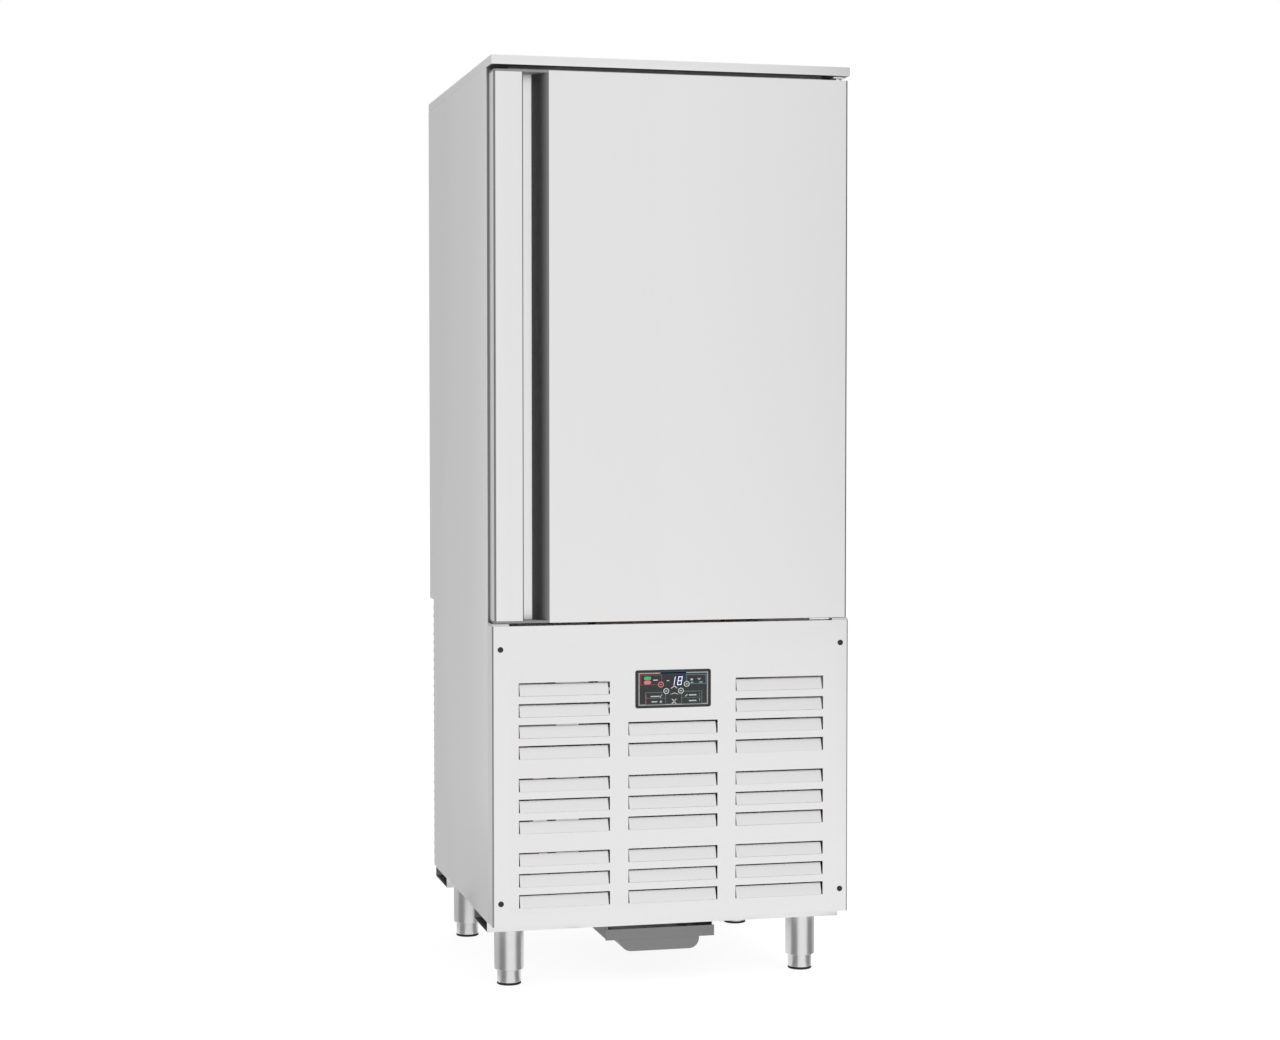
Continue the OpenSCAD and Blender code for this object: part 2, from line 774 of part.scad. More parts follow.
// Cross section of the pan, round at its two lower edges
module pan_section(w, z, r, top)
    difference() {
        union() {
            translate([-w / 2 + r, z]) square([w - 2 * r, r]);
            translate([-w / 2, z + r]) square([w, top - z - r]);
            for (sx = [-1, 1]) translate([sx * (w / 2 - r), z + r]) circle(r = r);
        }
        translate([-w, top]) square([2 * w, 2 * r]);
    }

module drip_tray()
    color([0.52, 0.52, 0.53]) {
        difference() {
            translate([0, tray_y0 + tray_l, 0]) rotate([90, 0, 0]) linear_extrude(tray_l)
                pan_section(pan_w, pan_z, pan_r, rim_z + tray_t);
            translate([0, tray_y0 + tray_l - tray_t, 0]) rotate([90, 0, 0])
                linear_extrude(tray_l - 2 * tray_t)
                pan_section(pan_w - 2 * tray_t, pan_z + tray_t, pan_r - tray_t, rim_z + tray_t + 1);
        }
        for (sx = [-1, 1])
            block(sx > 0 ? [pan_w / 2, rail_x - rail_t - 1] : [-rail_x + rail_t + 1, -pan_w / 2],
                  [tray_y0, tray_y0 + tray_l], [rim_z, rim_z + tray_t]);
        block([-apron_w / 2, apron_w / 2], [tray_y0, tray_y0 + tray_t], [apron_z, apron_top]);
    }

// ---- door ----

// The recess wall's curve, floor to front: its middle point pulls it out to a shoulder
function recess_wall(n) = let (
    a = [strip_x + recess_floor, front_y + recess_d],
    b = [recess_x, front_y],
    c = b + [-wall_shoulder, wall_shoulder / 4]
) [for (i = [0:n]) let (t = i / n) (1 - t) * (1 - t) * a + 2 * t * (1 - t) * c + t * t * b];

function handle_path() = concat(
    [[-door_x + door_lip, door_back], [-door_x, door_back]],
    arc([-door_x + door_r, front_y + door_r], door_r, 180, 270, 4),
    arc([strip_x - edge_r, front_y + edge_r], edge_r, 270, 360, 4),
    [[strip_x, front_y + grip_d], [strip_x - grip_w, front_y + grip_d + 2],
     [strip_x - grip_w, front_y + recess_d]],
    recess_wall(8)
);

// Its inner outline, squared off where it meets the main sheet
function handle_inner() =
    let (p = beside(handle_path(), door_skin_t), n = len(p) - 1)
        concat([for (i = [0:n - 1]) p[i]], [[recess_x, front_y + door_skin_t]]);

function skin_path() = concat(
    [[recess_x, front_y]],
    arc([door_x - door_r, front_y + door_r], door_r, 270, 360, 4),
    [[door_x, door_back], [door_x - door_lip, door_back]]
);

module bush_holes(gap) {
    bar_z(pin_x, pin_y, [door_z0 - 1, door_z0 + bush_l + gap], bush_r + gap);
    bar_z(pin_x, pin_y, [door_z1 - bush_l - gap, door_z1 + 1], bush_r + gap);
}

module handle_profile()
    color([0.88, 0.88, 0.88]) translate([0, 0, door_z0 + handle_cap_h])
        linear_extrude(door_z1 - door_z0 - 2 * handle_cap_h)
            polygon(concat(handle_path(), backward(handle_inner())));

module handle_end_caps()
    color([0.60, 0.60, 0.61]) for (z = [door_z0, door_z1 - handle_cap_h])
        difference() {
            block([-door_x + 0.5, recess_x], [front_y, door_back], [z, z + handle_cap_h]);
            translate([0, 0, z - 1]) linear_extrude(handle_cap_h + 2) polygon([
                [-door_x, front_y - 1], [-door_x + door_r, front_y - 1], [-door_x, front_y + door_r]
            ]);
        }

module door_outer_skin()
    color([0.89, 0.89, 0.89]) difference() {
        union() {
            translate([0, 0, door_z0]) linear_extrude(door_z1 - door_z0) sheet(skin_path(), door_skin_t);
            for (z = [door_z0, door_z1 - door_skin_t])
                block([recess_x, door_x - door_skin_t], [front_y + door_skin_t, door_back - door_skin_t],
                      [z, z + door_skin_t]);
            for (z = [door_z0, door_z1 - handle_cap_h])
                block([recess_x, door_x - door_lip], [door_back - door_skin_t, door_back],
                      [z, z + handle_cap_h]);
        }
        bush_holes(0);
    }

module door_foam()
    color([0.93, 0.88, 0.70]) difference() {
        union() {
            translate([0, 0, door_z0 + handle_cap_h]) linear_extrude(door_z1 - door_z0 - 2 * handle_cap_h)
                polygon(concat(handle_inner(), beside(skin_path(), door_skin_t)));
            block([-dike_x + door_skin_t, dike_x - door_skin_t],
                  [door_back - door_skin_t - 5, door_back + dike_h - door_skin_t],
                  [door_z0 + dike_inset + door_skin_t, door_z1 - dike_inset - door_skin_t]);
        }
        bush_holes(0);
    }

module door_inner_skin()
    color([0.84, 0.84, 0.85]) difference() {
        union() {
            block([-door_x + door_lip, door_x - door_lip], [door_back - door_skin_t, door_back],
                  [door_z0 + handle_cap_h, door_z1 - handle_cap_h]);
            block([-dike_x, dike_x], [door_back, door_back + dike_h],
                  [door_z0 + dike_inset, door_z1 - dike_inset]);
        }
        block([-dike_x + door_skin_t, dike_x - door_skin_t],
              [door_back - door_skin_t - 1, door_back + dike_h - door_skin_t],
              [door_z0 + dike_inset + door_skin_t, door_z1 - dike_inset - door_skin_t]);
    }

module door_gasket()
    color([0.20, 0.20, 0.21]) {
        z = [door_z0 + gasket_inset, door_z1 - gasket_inset];
        ring_xz(gasket_x, z, gasket_w, [door_back, door_back + 1.5]);
        ring_xz(gasket_x - 6, [z[0] + 6, z[1] - 6], gasket_w - 12, [door_back + 1.5, door_back + 3]);
        ring_xz(gasket_x - 2, [z[0] + 2, z[1] - 2], gasket_w - 4, [door_back + 3, door_back + gasket_t]);
    }

module hinge_bushes()
    color([0.15, 0.15, 0.16]) difference() {
        union() {
            bar_z(pin_x, pin_y, [door_z0, door_z0 + bush_l], bush_r);
            bar_z(pin_x, pin_y, [cab_z, door_z0], washer_r);
            bar_z(pin_x, pin_y, [door_z1 - bush_l, door_z1], bush_r);
        }
        bar_z(pin_x, pin_y, [cab_z - 1, door_z0 + bush_l - 1], pin_r + run_fit);
        bar_z(pin_x, pin_y, [door_z1 - bush_l + 1, door_z1 + 1], pin_r + run_fit);
    }

// ---- chamber ----

module rack_uprights()
    color([0.80, 0.80, 0.81])
        for (sx = [-1, 1], y = [rack_y0, rack_y1 - upright_w]) {
            block(sx > 0 ? [upright_x, upright_x + upright_w] : [-upright_x - upright_w, -upright_x],
                  [y, y + upright_w], [ch_z0, ch_z1]);
        }

// One runner: a rod bent to a U, its ends butted on the two uprights
module runner(s, z) {
    r = 10;
    y0 = rack_y0 + upright_w / 2;
    y1 = rack_y1 - upright_w / 2;
    mirror([s > 0 ? 0 : 1, 0, 0]) {
        bar_y(rod_x, z, [y0 + r, y1 - r], rod_r);
        for (e = [0, 1]) {
            translate([rod_x + r, e == 0 ? y0 + r : y1 - r, z]) rotate([0, 0, e == 0 ? 180 : 90])
                rotate_extrude(angle = 90) translate([r, 0]) circle(r = rod_r);
            bar_x(e == 0 ? y0 : y1, z, [rod_x + r, upright_x], rod_r);
        }
    }
}

module tray_runners()
    color([0.80, 0.80, 0.81]) for (z = level_zs, s = [-1, 1]) runner(s, z);

// Comb of fins in the XY plane: a spine with fins across it
module fin_comb(x0, x1, y0, y1, pitch, fin, spine) {
    n = floor((x1 - x0 - fin) / pitch);
    ym = (y0 + y1) / 2;
    union() {
        translate([x0, ym - spine / 2]) square([x1 - x0, spine]);
        for (i = [0:n]) translate([x0 + i * pitch, y0]) square([fin, y1 - y0]);
    }
}

module evaporator_coil()
    color([0.72, 0.73, 0.75]) {
        translate([0, 0, evap_z0]) linear_extrude(evap_z1 - evap_z0)
            fin_comb(-evap_x, evap_x, evap_y0, evap_y1, 15, 1, 5);
        for (sx = [-1, 1])
            block(sx > 0 ? [evap_x, evap_x + evap_plate] : [-evap_x - evap_plate, -evap_x],
                  [evap_y0 - 4, ch_back], [evap_z0 - 10, evap_z1 + 10]);
    }

module drain_pan()
    color([0.80, 0.80, 0.81]) difference() {
        block([-evap_x - 6, evap_x + 6], [evap_y0 - 14, ch_back], [drain_pan_z, evap_z0 - 10]);
        block([-evap_x - 5, evap_x + 5], [evap_y0 - 13, ch_back - 1], [drain_pan_z + 1, evap_z0]);
        bar_z(drain_x, drain_y, [drain_pan_z - 1, drain_pan_z + 2], drain_r - drain_wall);
    }

// The drain runs down, forward over the tray's rear end, and down again
function drain_route(over) = [
    [drain_x, drain_y, drain_pan_z + over], [drain_x, drain_y, cab_z - drain_turn],
    [drain_x, drain_out_y, cab_z - drain_turn], [drain_x, drain_out_y, rim_z + hose_z - over]
];

module drain_pipe()
    color([0.25, 0.25, 0.26]) difference() {
        pipe_path(drain_route(0), 22, drain_r);
        pipe_path(drain_route(1), 22, drain_r - drain_wall);
    }

module fan_panel()
    color([0.82, 0.82, 0.83]) {
        difference() {
            block([-ch_x, ch_x], [panel_y, panel_y + panel_sheet], [ch_z0 + 60, ch_z1 - 60]);
            for (z = evap_fan_zs) bar_y(0, z, [panel_y - 1, panel_y + 3], evap_fan_r + 6);
        }
        for (sx = [-1, 1])
            block(sx > 0 ? [ch_x - panel_sheet, ch_x] : [-ch_x, -ch_x + panel_sheet],
                  [panel_y + panel_sheet, evap_y0 - 16], [ch_z0 + 60, ch_z1 - 60]);
        for (z = evap_fan_zs) difference() {
            bar_y(0, z, [panel_y + panel_sheet, panel_y + collar_d], evap_fan_r + 7.5);
            bar_y(0, z, [panel_y, panel_y + collar_d + 1], evap_fan_r + 6);
        }
    }

guard_wire = 2;

module fan_guard()
    union() {
        for (r = [motor_r + 22 : 24 : guard_r - 8])
            rotate([90, 0, 0]) rotate_extrude() translate([r, guard_wire]) square(guard_wire, center = true);
        difference() {
            bar_y(0, 0, [-guard_wire * 2, 0], guard_r);
            bar_y(0, 0, [-guard_wire * 2 - 1, 1], guard_r - 4);
        }
        bar_y(0, 0, [-guard_wire * 2, 0], motor_r);
        for (a = [0:45:315]) rotate([0, a, 0])
            block([motor_r - 2, guard_r - 2], [-guard_wire * 1.5, -guard_wire / 2],
                  [-guard_wire / 2, guard_wire / 2]);
    }

module fan_guards()
    color([0.75, 0.75, 0.76]) for (z = evap_fan_zs) translate([0, panel_y, z]) fan_guard();

module evaporator_fan_motors()
    color([0.14, 0.14, 0.15]) for (z = evap_fan_zs) {
        bar_y(0, z, [panel_y, panel_y + evap_motor_l], motor_r);
        bar_y(0, z, [panel_y + evap_motor_l, panel_y + evap_motor_l + 26], shaft_r);
    }

// Impeller: hub on the shaft with flat pitched blades, from y0 over depth d
module impeller(r, hub_r, y0, d, blades)
    union() {
        difference() {
            bar_y(0, 0, [y0, y0 + d], hub_r);
            bar_y(0, 0, [y0 - 1, y0 + d + 1], shaft_r + run_fit);
        }
        for (i = [0:blades - 1]) rotate([0, i * 360 / blades, 0])
            translate([0, y0 + d / 2, hub_r - 3]) rotate([0, 0, 28])
                translate([-26, -1, 0]) cube([52, 2, sqrt(r * r - 26 * 26) - hub_r + 2]);
    }

module evaporator_fan(i)
    color([0.10, 0.10, 0.11]) translate([0, 0, evap_fan_zs[i]])
        impeller(evap_fan_r, 34, panel_y + evap_motor_l + 6, 18, 7);

// ---- machine compartment ----

module compressor()
    color([0.10, 0.10, 0.11]) {
        translate([comp_x, comp_y, comp_z]) {
            rotate_extrude() polygon(concat(
                [[0, 0], [comp_r - 14, 0]],
                arc([comp_r - 20, 20], 20, 280, 360, 5),
                arc([comp_r - 40, comp_h - 40], 40, 0, 80, 6),
                [[0, comp_h]]
            ));
            block([-mount_x - 16, mount_x + 16], [-mount_y - 16, mount_y + 16], [-foot_plate_t, 0]);
            block([-25, 25], [-comp_r - 22, -comp_r + 8], [comp_h * 0.45, comp_h * 0.45 + 70]);
        }
    }

module compressor_mounts()
    color([0.13, 0.13, 0.13])
        for (sx = [-1, 1], sy = [-1, 1])
            translate([comp_x + sx * mount_x, comp_y + sy * mount_y, deck_z]) {
                cylinder(r = 12, h = mount_h);
                cylinder(r = 16, h = 5);
            }

module condenser_coil()
    color([0.70, 0.71, 0.73]) {
        translate([0, 0, deck_z + 6]) linear_extrude(cond_h - 12)
            fin_comb(cond_x0 + 2, cond_x0 + cond_w - 2, cond_y0 + 3, cond_y1 - 3, 12, 1, 5);
        for (x = [cond_x0, cond_x0 + cond_w - 2])
            block([x, x + 2], [cond_y0, cond_y1], [deck_z, cond_z1]);
        for (i = [0:5]) for (x = [0, 1])
            translate([x == 0 ? cond_x0 : cond_x0 + cond_w, cond_y0 + cond_d / 2, deck_z + 50 + i * 60])
                rotate([0, x == 0 ? -90 : 90, 0]) rotate([0, 0, 90]) rotate([90, 0, 0])
                    rotate_extrude(angle = 180) translate([18, 0]) circle(r = 5);
    }

module condenser_shroud()
    color([0.16, 0.16, 0.17]) {
        difference() {
            block([cond_x0 + 2, cond_x0 + cond_w - 2], [cond_y1, cond_y1 + shroud_d], [deck_z, cond_z1]);
            block([cond_x0 + 2 + shroud_t, cond_x0 + cond_w - 2 - shroud_t],
                  [cond_y1 - 1, cond_y1 + shroud_d - shroud_t], [deck_z + shroud_t, cond_z1 - shroud_t]);
            bar_y(cond_mid_x, cond_mid_z, [cond_y1 + shroud_d - shroud_t - 1, cond_y1 + shroud_d + 1],
                  cond_fan_r + 6);
        }
    }

motor_arm = 14;

module condenser_fan_motor()
    color([0.55, 0.56, 0.58]) {
        y0 = cond_y1 + shroud_d + 24;
        bar_y(cond_mid_x, cond_mid_z, [y0, y0 + cond_motor_l], cond_motor_r);
        bar_y(cond_mid_x, cond_mid_z, [y0 - 34, y0], shaft_r);
        for (sz = [-1, 1]) {
            z0 = cond_mid_z + sz * (cond_motor_r - 3);
            z1 = cond_mid_z + sz * (cond_fan_r + 22);
            block([cond_mid_x - motor_arm / 2, cond_mid_x + motor_arm / 2], [y0 + 4, y0 + 7],
                  [min(z0, z1), max(z0, z1)]);
            block([cond_mid_x - motor_arm / 2, cond_mid_x + motor_arm / 2], [cond_y1 + shroud_d, y0 + 4],
                  sz > 0 ? [z1 - 3, z1] : [z1, z1 + 3]);
        }
    }

module condenser_fan()
    color([0.08, 0.08, 0.09]) translate([cond_mid_x, 0, cond_mid_z])
        impeller(cond_fan_r, 36, cond_y1 + shroud_d - 8, 24, 5);

module liquid_receiver()
    color([0.09, 0.09, 0.10]) translate([recv_x, recv_y, 0]) {
        difference() {
            bar_z(0, 0, [recv_z, recv_top], recv_r);
            bar_z(0, 0, [recv_z + recv_wall, recv_top - recv_wall], recv_r - recv_wall);
        }
        difference() {
            bar_z(0, 0, [deck_z, recv_z], recv_r - 5);
            bar_z(0, 0, [deck_z - 1, recv_z - 2], recv_r - 8);
        }
    }

// Filter drier: a capsule on the liquid line, level with the receiver's top
drier_x = -70;
drier_z = recv_z + recv_h + 60;
drier_l = 110;

module filter_drier()
    color([0.20, 0.35, 0.60]) difference() {
        union() {
            bar_x(recv_y, drier_z, [drier_x - drier_l / 2, drier_x + drier_l / 2], 22);
            bar_x(recv_y, drier_z, [drier_x - drier_l / 2 - 12, drier_x + drier_l / 2 + 12], 9);
        }
        bar_x(recv_y, drier_z, [drier_x - drier_l / 2 - 13, drier_x - drier_l / 2 - 2], line_r + run_fit);
        bar_x(recv_y, drier_z, [drier_x + drier_l / 2 + 2, drier_x + drier_l / 2 + 13], line_r + run_fit);
    }

// Pipe along square-cornered points, with bends of radius r
module pipe_path(p, r, pipe)
    for (i = [0:len(p) - 2]) {
        d = unit(p[i + 1] - p[i]);
        a = p[i] + (i == 0 ? 0 : r) * d;
        b = p[i + 1] - (i == len(p) - 2 ? 0 : r) * d;
        straight(a, b, pipe);
        if (i < len(p) - 2) bend(p[i + 1], d, unit(p[i + 2] - p[i + 1]), r, pipe);
    }

module straight(a, b, pipe) {
    v = b - a;
    translate(a) face_along(v) cylinder(r = pipe, h = norm(v));
}

// Turns +Z to one of the six axis directions
module face_along(v)
    rotate(v[2] > 0.5 ? [0, 0, 0] : v[2] < -0.5 ? [180, 0, 0] : v[0] > 0.5 ? [0, 90, 0]
        : v[0] < -0.5 ? [0, -90, 0] : v[1] > 0.5 ? [-90, 0, 0] : [90, 0, 0]) children();

module bend(c, din, dout, r, pipe) {
    n = cross(din, dout);
    m = [
        [-dout[0], din[0], n[0], c[0] - r * din[0] + r * dout[0]],
        [-dout[1], din[1], n[1], c[1] - r * din[1] + r * dout[1]],
        [-dout[2], din[2], n[2], c[2] - r * din[2] + r * dout[2]],
        [0, 0, 0, 1]
    ];
    multmatrix(m) rotate_extrude(angle = 90) translate([r, 0]) circle(r = pipe);
}

suction_port_z = comp_z + comp_h - 60;
discharge_port_z = comp_z + 60;
valve_z = ch_z0 + 100;
cond_in_z = cond_z1 - 100;
cond_out_z = deck_z + 80;
cond_pipe_y = cond_y1 + 120;
cond_pipe_x = cond_x0 - 32;
recv_top = recv_z + recv_h;

module refrigerant_pipes()
    color([0.72, 0.45, 0.28]) {
        // Evaporator to compressor
        pipe_path([
            [evap_x + evap_plate + weld_gap, suction_y, ch_z0 + 130], [pipe_x, suction_y, ch_z0 + 130],
            [pipe_x, suction_y, suction_port_z + 120], [comp_x, suction_y, suction_port_z + 120],
            [comp_x, suction_y, suction_port_z], [comp_x, comp_y + comp_r + weld_gap, suction_port_z]
        ], 14, suction_r);
        // Compressor to condenser
        pipe_path([
            [comp_x - comp_r - weld_gap, comp_y, discharge_port_z], [40, comp_y, discharge_port_z],
            [40, comp_y, cond_in_z], [40, cond_pipe_y, cond_in_z], [cond_pipe_x, cond_pipe_y, cond_in_z],
            [cond_pipe_x, cond_y0 + cond_d / 2, cond_in_z], [cond_x0, cond_y0 + cond_d / 2, cond_in_z]
        ], 14, line_r);
        // Condenser to receiver
        pipe_path([
            [cond_x0, cond_y0 + cond_d / 2, cond_out_z], [recv_x + 30, cond_y0 + cond_d / 2, cond_out_z],
            [recv_x + 30, recv_y - 130, cond_out_z], [recv_x + 30, recv_y - 130, recv_top + 40],
            [recv_x + 30, recv_y, recv_top + 40], [recv_x + 30, recv_y, recv_top]
        ], 14, line_r);
        // Receiver to drier
        pipe_path([
            [recv_x - 20, recv_y, recv_top], [recv_x - 20, recv_y, drier_z],
            [drier_x - drier_l / 2 - 2 - weld_gap, recv_y, drier_z]
        ], 14, line_r);
        // Drier to expansion valve
        pipe_path([
            [drier_x + drier_l / 2 + 2 + weld_gap, recv_y, drier_z], [30, recv_y, drier_z],
            [30, recv_y, cab_z - liquid_turn], [30, liquid_y, cab_z - liquid_turn],
            [pipe_x, liquid_y, cab_z - liquid_turn],
            [pipe_x, liquid_y, valve_z]
        ], 14, line_r);
    }

module expansion_valve()
    color([0.80, 0.65, 0.30]) {
        bar_z(pipe_x, liquid_y, [valve_z, valve_z + 40], 12);
        bar_z(pipe_x, liquid_y, [valve_z + 40, valve_z + 52], 18);
        bar_x(liquid_y, valve_z + 20, [evap_x + evap_plate, pipe_x], 4);
    }

module electrical_box()
    color([0.90, 0.90, 0.90]) {
        difference() {
            block([box_x0, box_x1], [box_y0, box_y1], [box_z0, box_z1]);
            block([box_x0 + 1.5, box_x1 - 1.5], [box_y0 + 1.5, box_y1 - 1.5], [box_z0 + 1.5, box_z1 - 1.5]);
        }
        block([box_x1, box_x1 + 2], [box_y0, box_y1], [deck_z, cab_z]);
    }

module cable_gland()
    color([0.12, 0.12, 0.13]) translate([gland_x, gland_y, 0]) difference() {
        union() {
            bar_z(0, 0, [floor_z - 14, deck_z + 10], gland_r);
            bar_z(0, 0, [floor_z - 5, floor_z], gland_r + 4);
            bar_z(0, 0, [deck_z, deck_z + 5], gland_r + 4);
        }
        bar_z(0, 0, [floor_z - 15, deck_z + 11], gland_bore);
    }

top_slab();
cabinet_top_skin();
cabinet_bottom_skin();
side_skin(-1);  // side_skin_left
side_skin(1);  // side_skin_right
rear_skin();
cabinet_foam();
inner_liner();
thermal_break_frame();
hinge_bracket_top();
hinge_bracket_bottom();
base_channels();
machine_floor();
corner_posts();
front_cover();
front_cover_screws();
rear_grille();
cabinet_screws();
cable_gland();
leg_sleeves();
rack_uprights();
tray_runners();
evaporator_coil();
drain_pan();
drain_pipe();
fan_panel();
fan_guards();
evaporator_fan_motors();
compressor();
compressor_mounts();
condenser_coil();
condenser_shroud();
condenser_fan_motor();
liquid_receiver();
filter_drier();
refrigerant_pipes();
expansion_valve();
electrical_box();
control_housing();
control_overlay();
tray_rails();
door_outer_skin();
handle_profile();
handle_end_caps();
door_foam();
door_inner_skin();
door_gasket();
hinge_bushes();
drip_tray();
evaporator_fan(1);  // evaporator_fan_upper
evaporator_fan(0);  // evaporator_fan_lower
condenser_fan();
key(0);  // key_start
key(1);  // key_light
key(2);  // key_up
key(3);  // key_down
foot(-1, 0);  // foot_front_left
foot(1, 0);  // foot_front_right
foot(-1, 1);  // foot_rear_left
foot(1, 1);  // foot_rear_right
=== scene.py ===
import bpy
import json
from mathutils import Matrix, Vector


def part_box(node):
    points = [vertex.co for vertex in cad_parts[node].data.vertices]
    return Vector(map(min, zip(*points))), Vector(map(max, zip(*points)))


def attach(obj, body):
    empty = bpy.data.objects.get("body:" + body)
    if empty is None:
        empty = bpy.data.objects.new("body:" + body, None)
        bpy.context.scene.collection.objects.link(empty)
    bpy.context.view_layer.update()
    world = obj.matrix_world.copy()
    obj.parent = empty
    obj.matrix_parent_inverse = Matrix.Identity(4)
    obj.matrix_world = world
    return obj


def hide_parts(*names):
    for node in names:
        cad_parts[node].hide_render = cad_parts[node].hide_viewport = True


bl_info = {
    "name": "Blast chiller",
    "version": (1, 0, 0),
    "blender": (4, 5, 0),
    "location": "3D View > Sidebar > Chiller",
    "description": "Dresses an upright blast chiller around its packed solids",
    "category": "Object",
}

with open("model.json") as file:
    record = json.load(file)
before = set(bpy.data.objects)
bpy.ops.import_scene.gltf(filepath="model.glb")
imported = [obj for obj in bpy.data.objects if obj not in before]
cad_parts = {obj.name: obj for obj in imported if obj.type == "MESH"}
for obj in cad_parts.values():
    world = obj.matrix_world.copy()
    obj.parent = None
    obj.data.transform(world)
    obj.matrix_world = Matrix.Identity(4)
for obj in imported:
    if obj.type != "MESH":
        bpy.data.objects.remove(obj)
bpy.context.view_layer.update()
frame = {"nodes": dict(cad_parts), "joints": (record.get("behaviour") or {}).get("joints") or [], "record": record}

import json
import math

import bpy
from mathutils import Euler, Vector

MM = 0.001
# Edges that bend by more degrees than the first are rounded, and by fewer than the second are shaded smooth
BEVEL_ABOVE, SMOOTH_BELOW = 35, 32
MERGE_WITHIN = 0.001 * MM
# A face looks along an axis where its normal's share is above this
FACING = 0.9


def linear(code):
    """An sRGB hex colour as linear red, green and blue"""
    parts = [int(code[i:i + 2], 16) / 255 for i in (1, 3, 5)]
    return tuple(c / 12.92 if c <= 0.04045 else ((c + 0.055) / 1.055) ** 2.4 for c in parts)


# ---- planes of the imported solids, in metres ----

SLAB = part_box("top_slab")
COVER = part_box("front_cover")
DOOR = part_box("door_outer_skin")
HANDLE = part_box("handle_profile")
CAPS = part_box("handle_end_caps")
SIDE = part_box("side_skin_left")
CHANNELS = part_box("base_channels")
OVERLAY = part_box("control_overlay")
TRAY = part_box("drip_tray")
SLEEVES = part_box("leg_sleeves")
HINGE_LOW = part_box("hinge_bracket_bottom")
HINGE_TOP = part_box("hinge_bracket_top")
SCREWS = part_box("front_cover_screws")
PANEL_X = (OVERLAY[0].x + OVERLAY[1].x) / 2
PANEL_Z = (OVERLAY[0].z + OVERLAY[1].z) / 2
SHEET = 1 * MM
LEGS = ("front_left", "front_right", "rear_left", "rear_right")

# Louvre columns and the foot of each slot, in millimetres. The middle column ends under the control panel.
COLUMNS = (-242, 0, 242)
SLOT_FEET = (195, 240.4, 285.8, 355.8, 401.2, 446.6, 516.6, 562, 607.4, 652.8)
MIDDLE_ROWS = 8
# Width and height of a slot and the gap round its louvre in millimetres, and the louvre's tilt in degrees
SLOT_W, SLOT_H, SLOT_GAP, SLOT_TILT = 201, 29, 2.5, 19

# The handle profile: its strip, the strip's edge, its outer fold and its lip at the door's back
STRIP_W, STRIP_EDGE, FOLD_R, LIP_W = 64 * MM, 2.5 * MM, 4 * MM, 14 * MM
# The finger recess beside the strip: its mouth, its depth and the steps of its curved wall
MOUTH_W, RECESS_D, WALL_STEPS = 26 * MM, 42 * MM, 20


class ChillerSizes(bpy.types.PropertyGroup):
    """Sizes that a user may change"""
    edge: bpy.props.FloatProperty(name="Sheet edge", description="Rounding of folded sheet edges",
                                  default=0.0004, min=0.0001, max=0.001, unit="LENGTH", precision=5)
    slab_edge: bpy.props.FloatProperty(name="Slab edge", description="Rounding of the top slab's edges",
                                       default=0.0015, min=0.0005, max=0.004, unit="LENGTH", precision=4)
    print_t: bpy.props.FloatProperty(name="Print thickness", description="Thickness of the overlay's marks",
                                     default=0.00012, min=0.00005, max=0.0003, unit="LENGTH", precision=5)


class ChillerColours(bpy.types.PropertyGroup):
    """Colours that a user may change"""
    steel: bpy.props.FloatVectorProperty(name="Outer steel", description="Tint of the outer sheets",
                                         size=3, subtype="COLOR", default=linear("#E9E8E8"))
    digits: bpy.props.FloatVectorProperty(name="Digits", description="Glow of the display's digits",
                                          size=3, subtype="COLOR", default=linear("#D6DCFF"))


# ---- modelling helpers ----

def deselect():
    bpy.ops.object.select_all(action="DESELECT")


def activate(*pieces):
    deselect()
    for piece in pieces:
        piece.select_set(True)
    bpy.context.view_layer.objects.active = pieces[0]


def settle(piece, name=None):
    activate(piece)
    bpy.ops.object.transform_apply(location=True, rotation=True, scale=True)
    if name:
        piece.name = name
    return piece


def block(name, low, high):
    """A cube at its size and place"""
    deselect()
    low, high = Vector(low), Vector(high)
    bpy.ops.mesh.primitive_cube_add(size=1, location=(low + high) / 2, scale=high - low)
    return settle(bpy.context.object, name)


def pick(piece, test):
    """Edit mode with only the faces selected that pass the test"""
    activate(piece)
    bpy.ops.object.mode_set(mode="EDIT")
    bpy.ops.mesh.select_mode(type="FACE")
    bpy.ops.mesh.select_all(action="DESELECT")
    bpy.ops.object.mode_set(mode="OBJECT")
    for face in piece.data.polygons:
        face.select = test(face)
    bpy.ops.object.mode_set(mode="EDIT")


def edit_all(piece):
    """Edit mode with everything selected"""
    activate(piece)
    bpy.ops.object.mode_set(mode="EDIT")
    bpy.ops.mesh.select_all(action="SELECT")


def done():
    bpy.ops.object.mode_set(mode="OBJECT")


def modify(piece, kind, **settings):
    activate(piece)
    modifier = piece.modifiers.new(kind.title(), kind)
    for key, value in settings.items():
        setattr(modifier, key, value)
    bpy.ops.object.modifier_apply(modifier=modifier.name)
    return piece


def smooth(piece):
    activate(piece)
    bpy.ops.object.shade_smooth_by_angle(angle=math.radians(SMOOTH_BELOW))
    return piece


def soften(piece, width, segments=2):
    """Rounds the sharp edges"""
    modify(piece, "BEVEL", width=width, segments=segments, limit_method="ANGLE",
           angle_limit=math.radians(BEVEL_ABOVE))
    return smooth(piece)


def cut(piece, cutter):
    """Takes the cutter out of the piece, and deletes it"""
    modify(piece, "BOOLEAN", operation="DIFFERENCE", solver="EXACT", object=cutter)
    bpy.data.objects.remove(cutter)


def join(name, *pieces):
    activate(*pieces)
    if len(pieces) > 1:
        bpy.ops.object.join()
    return settle(pieces[0], name)


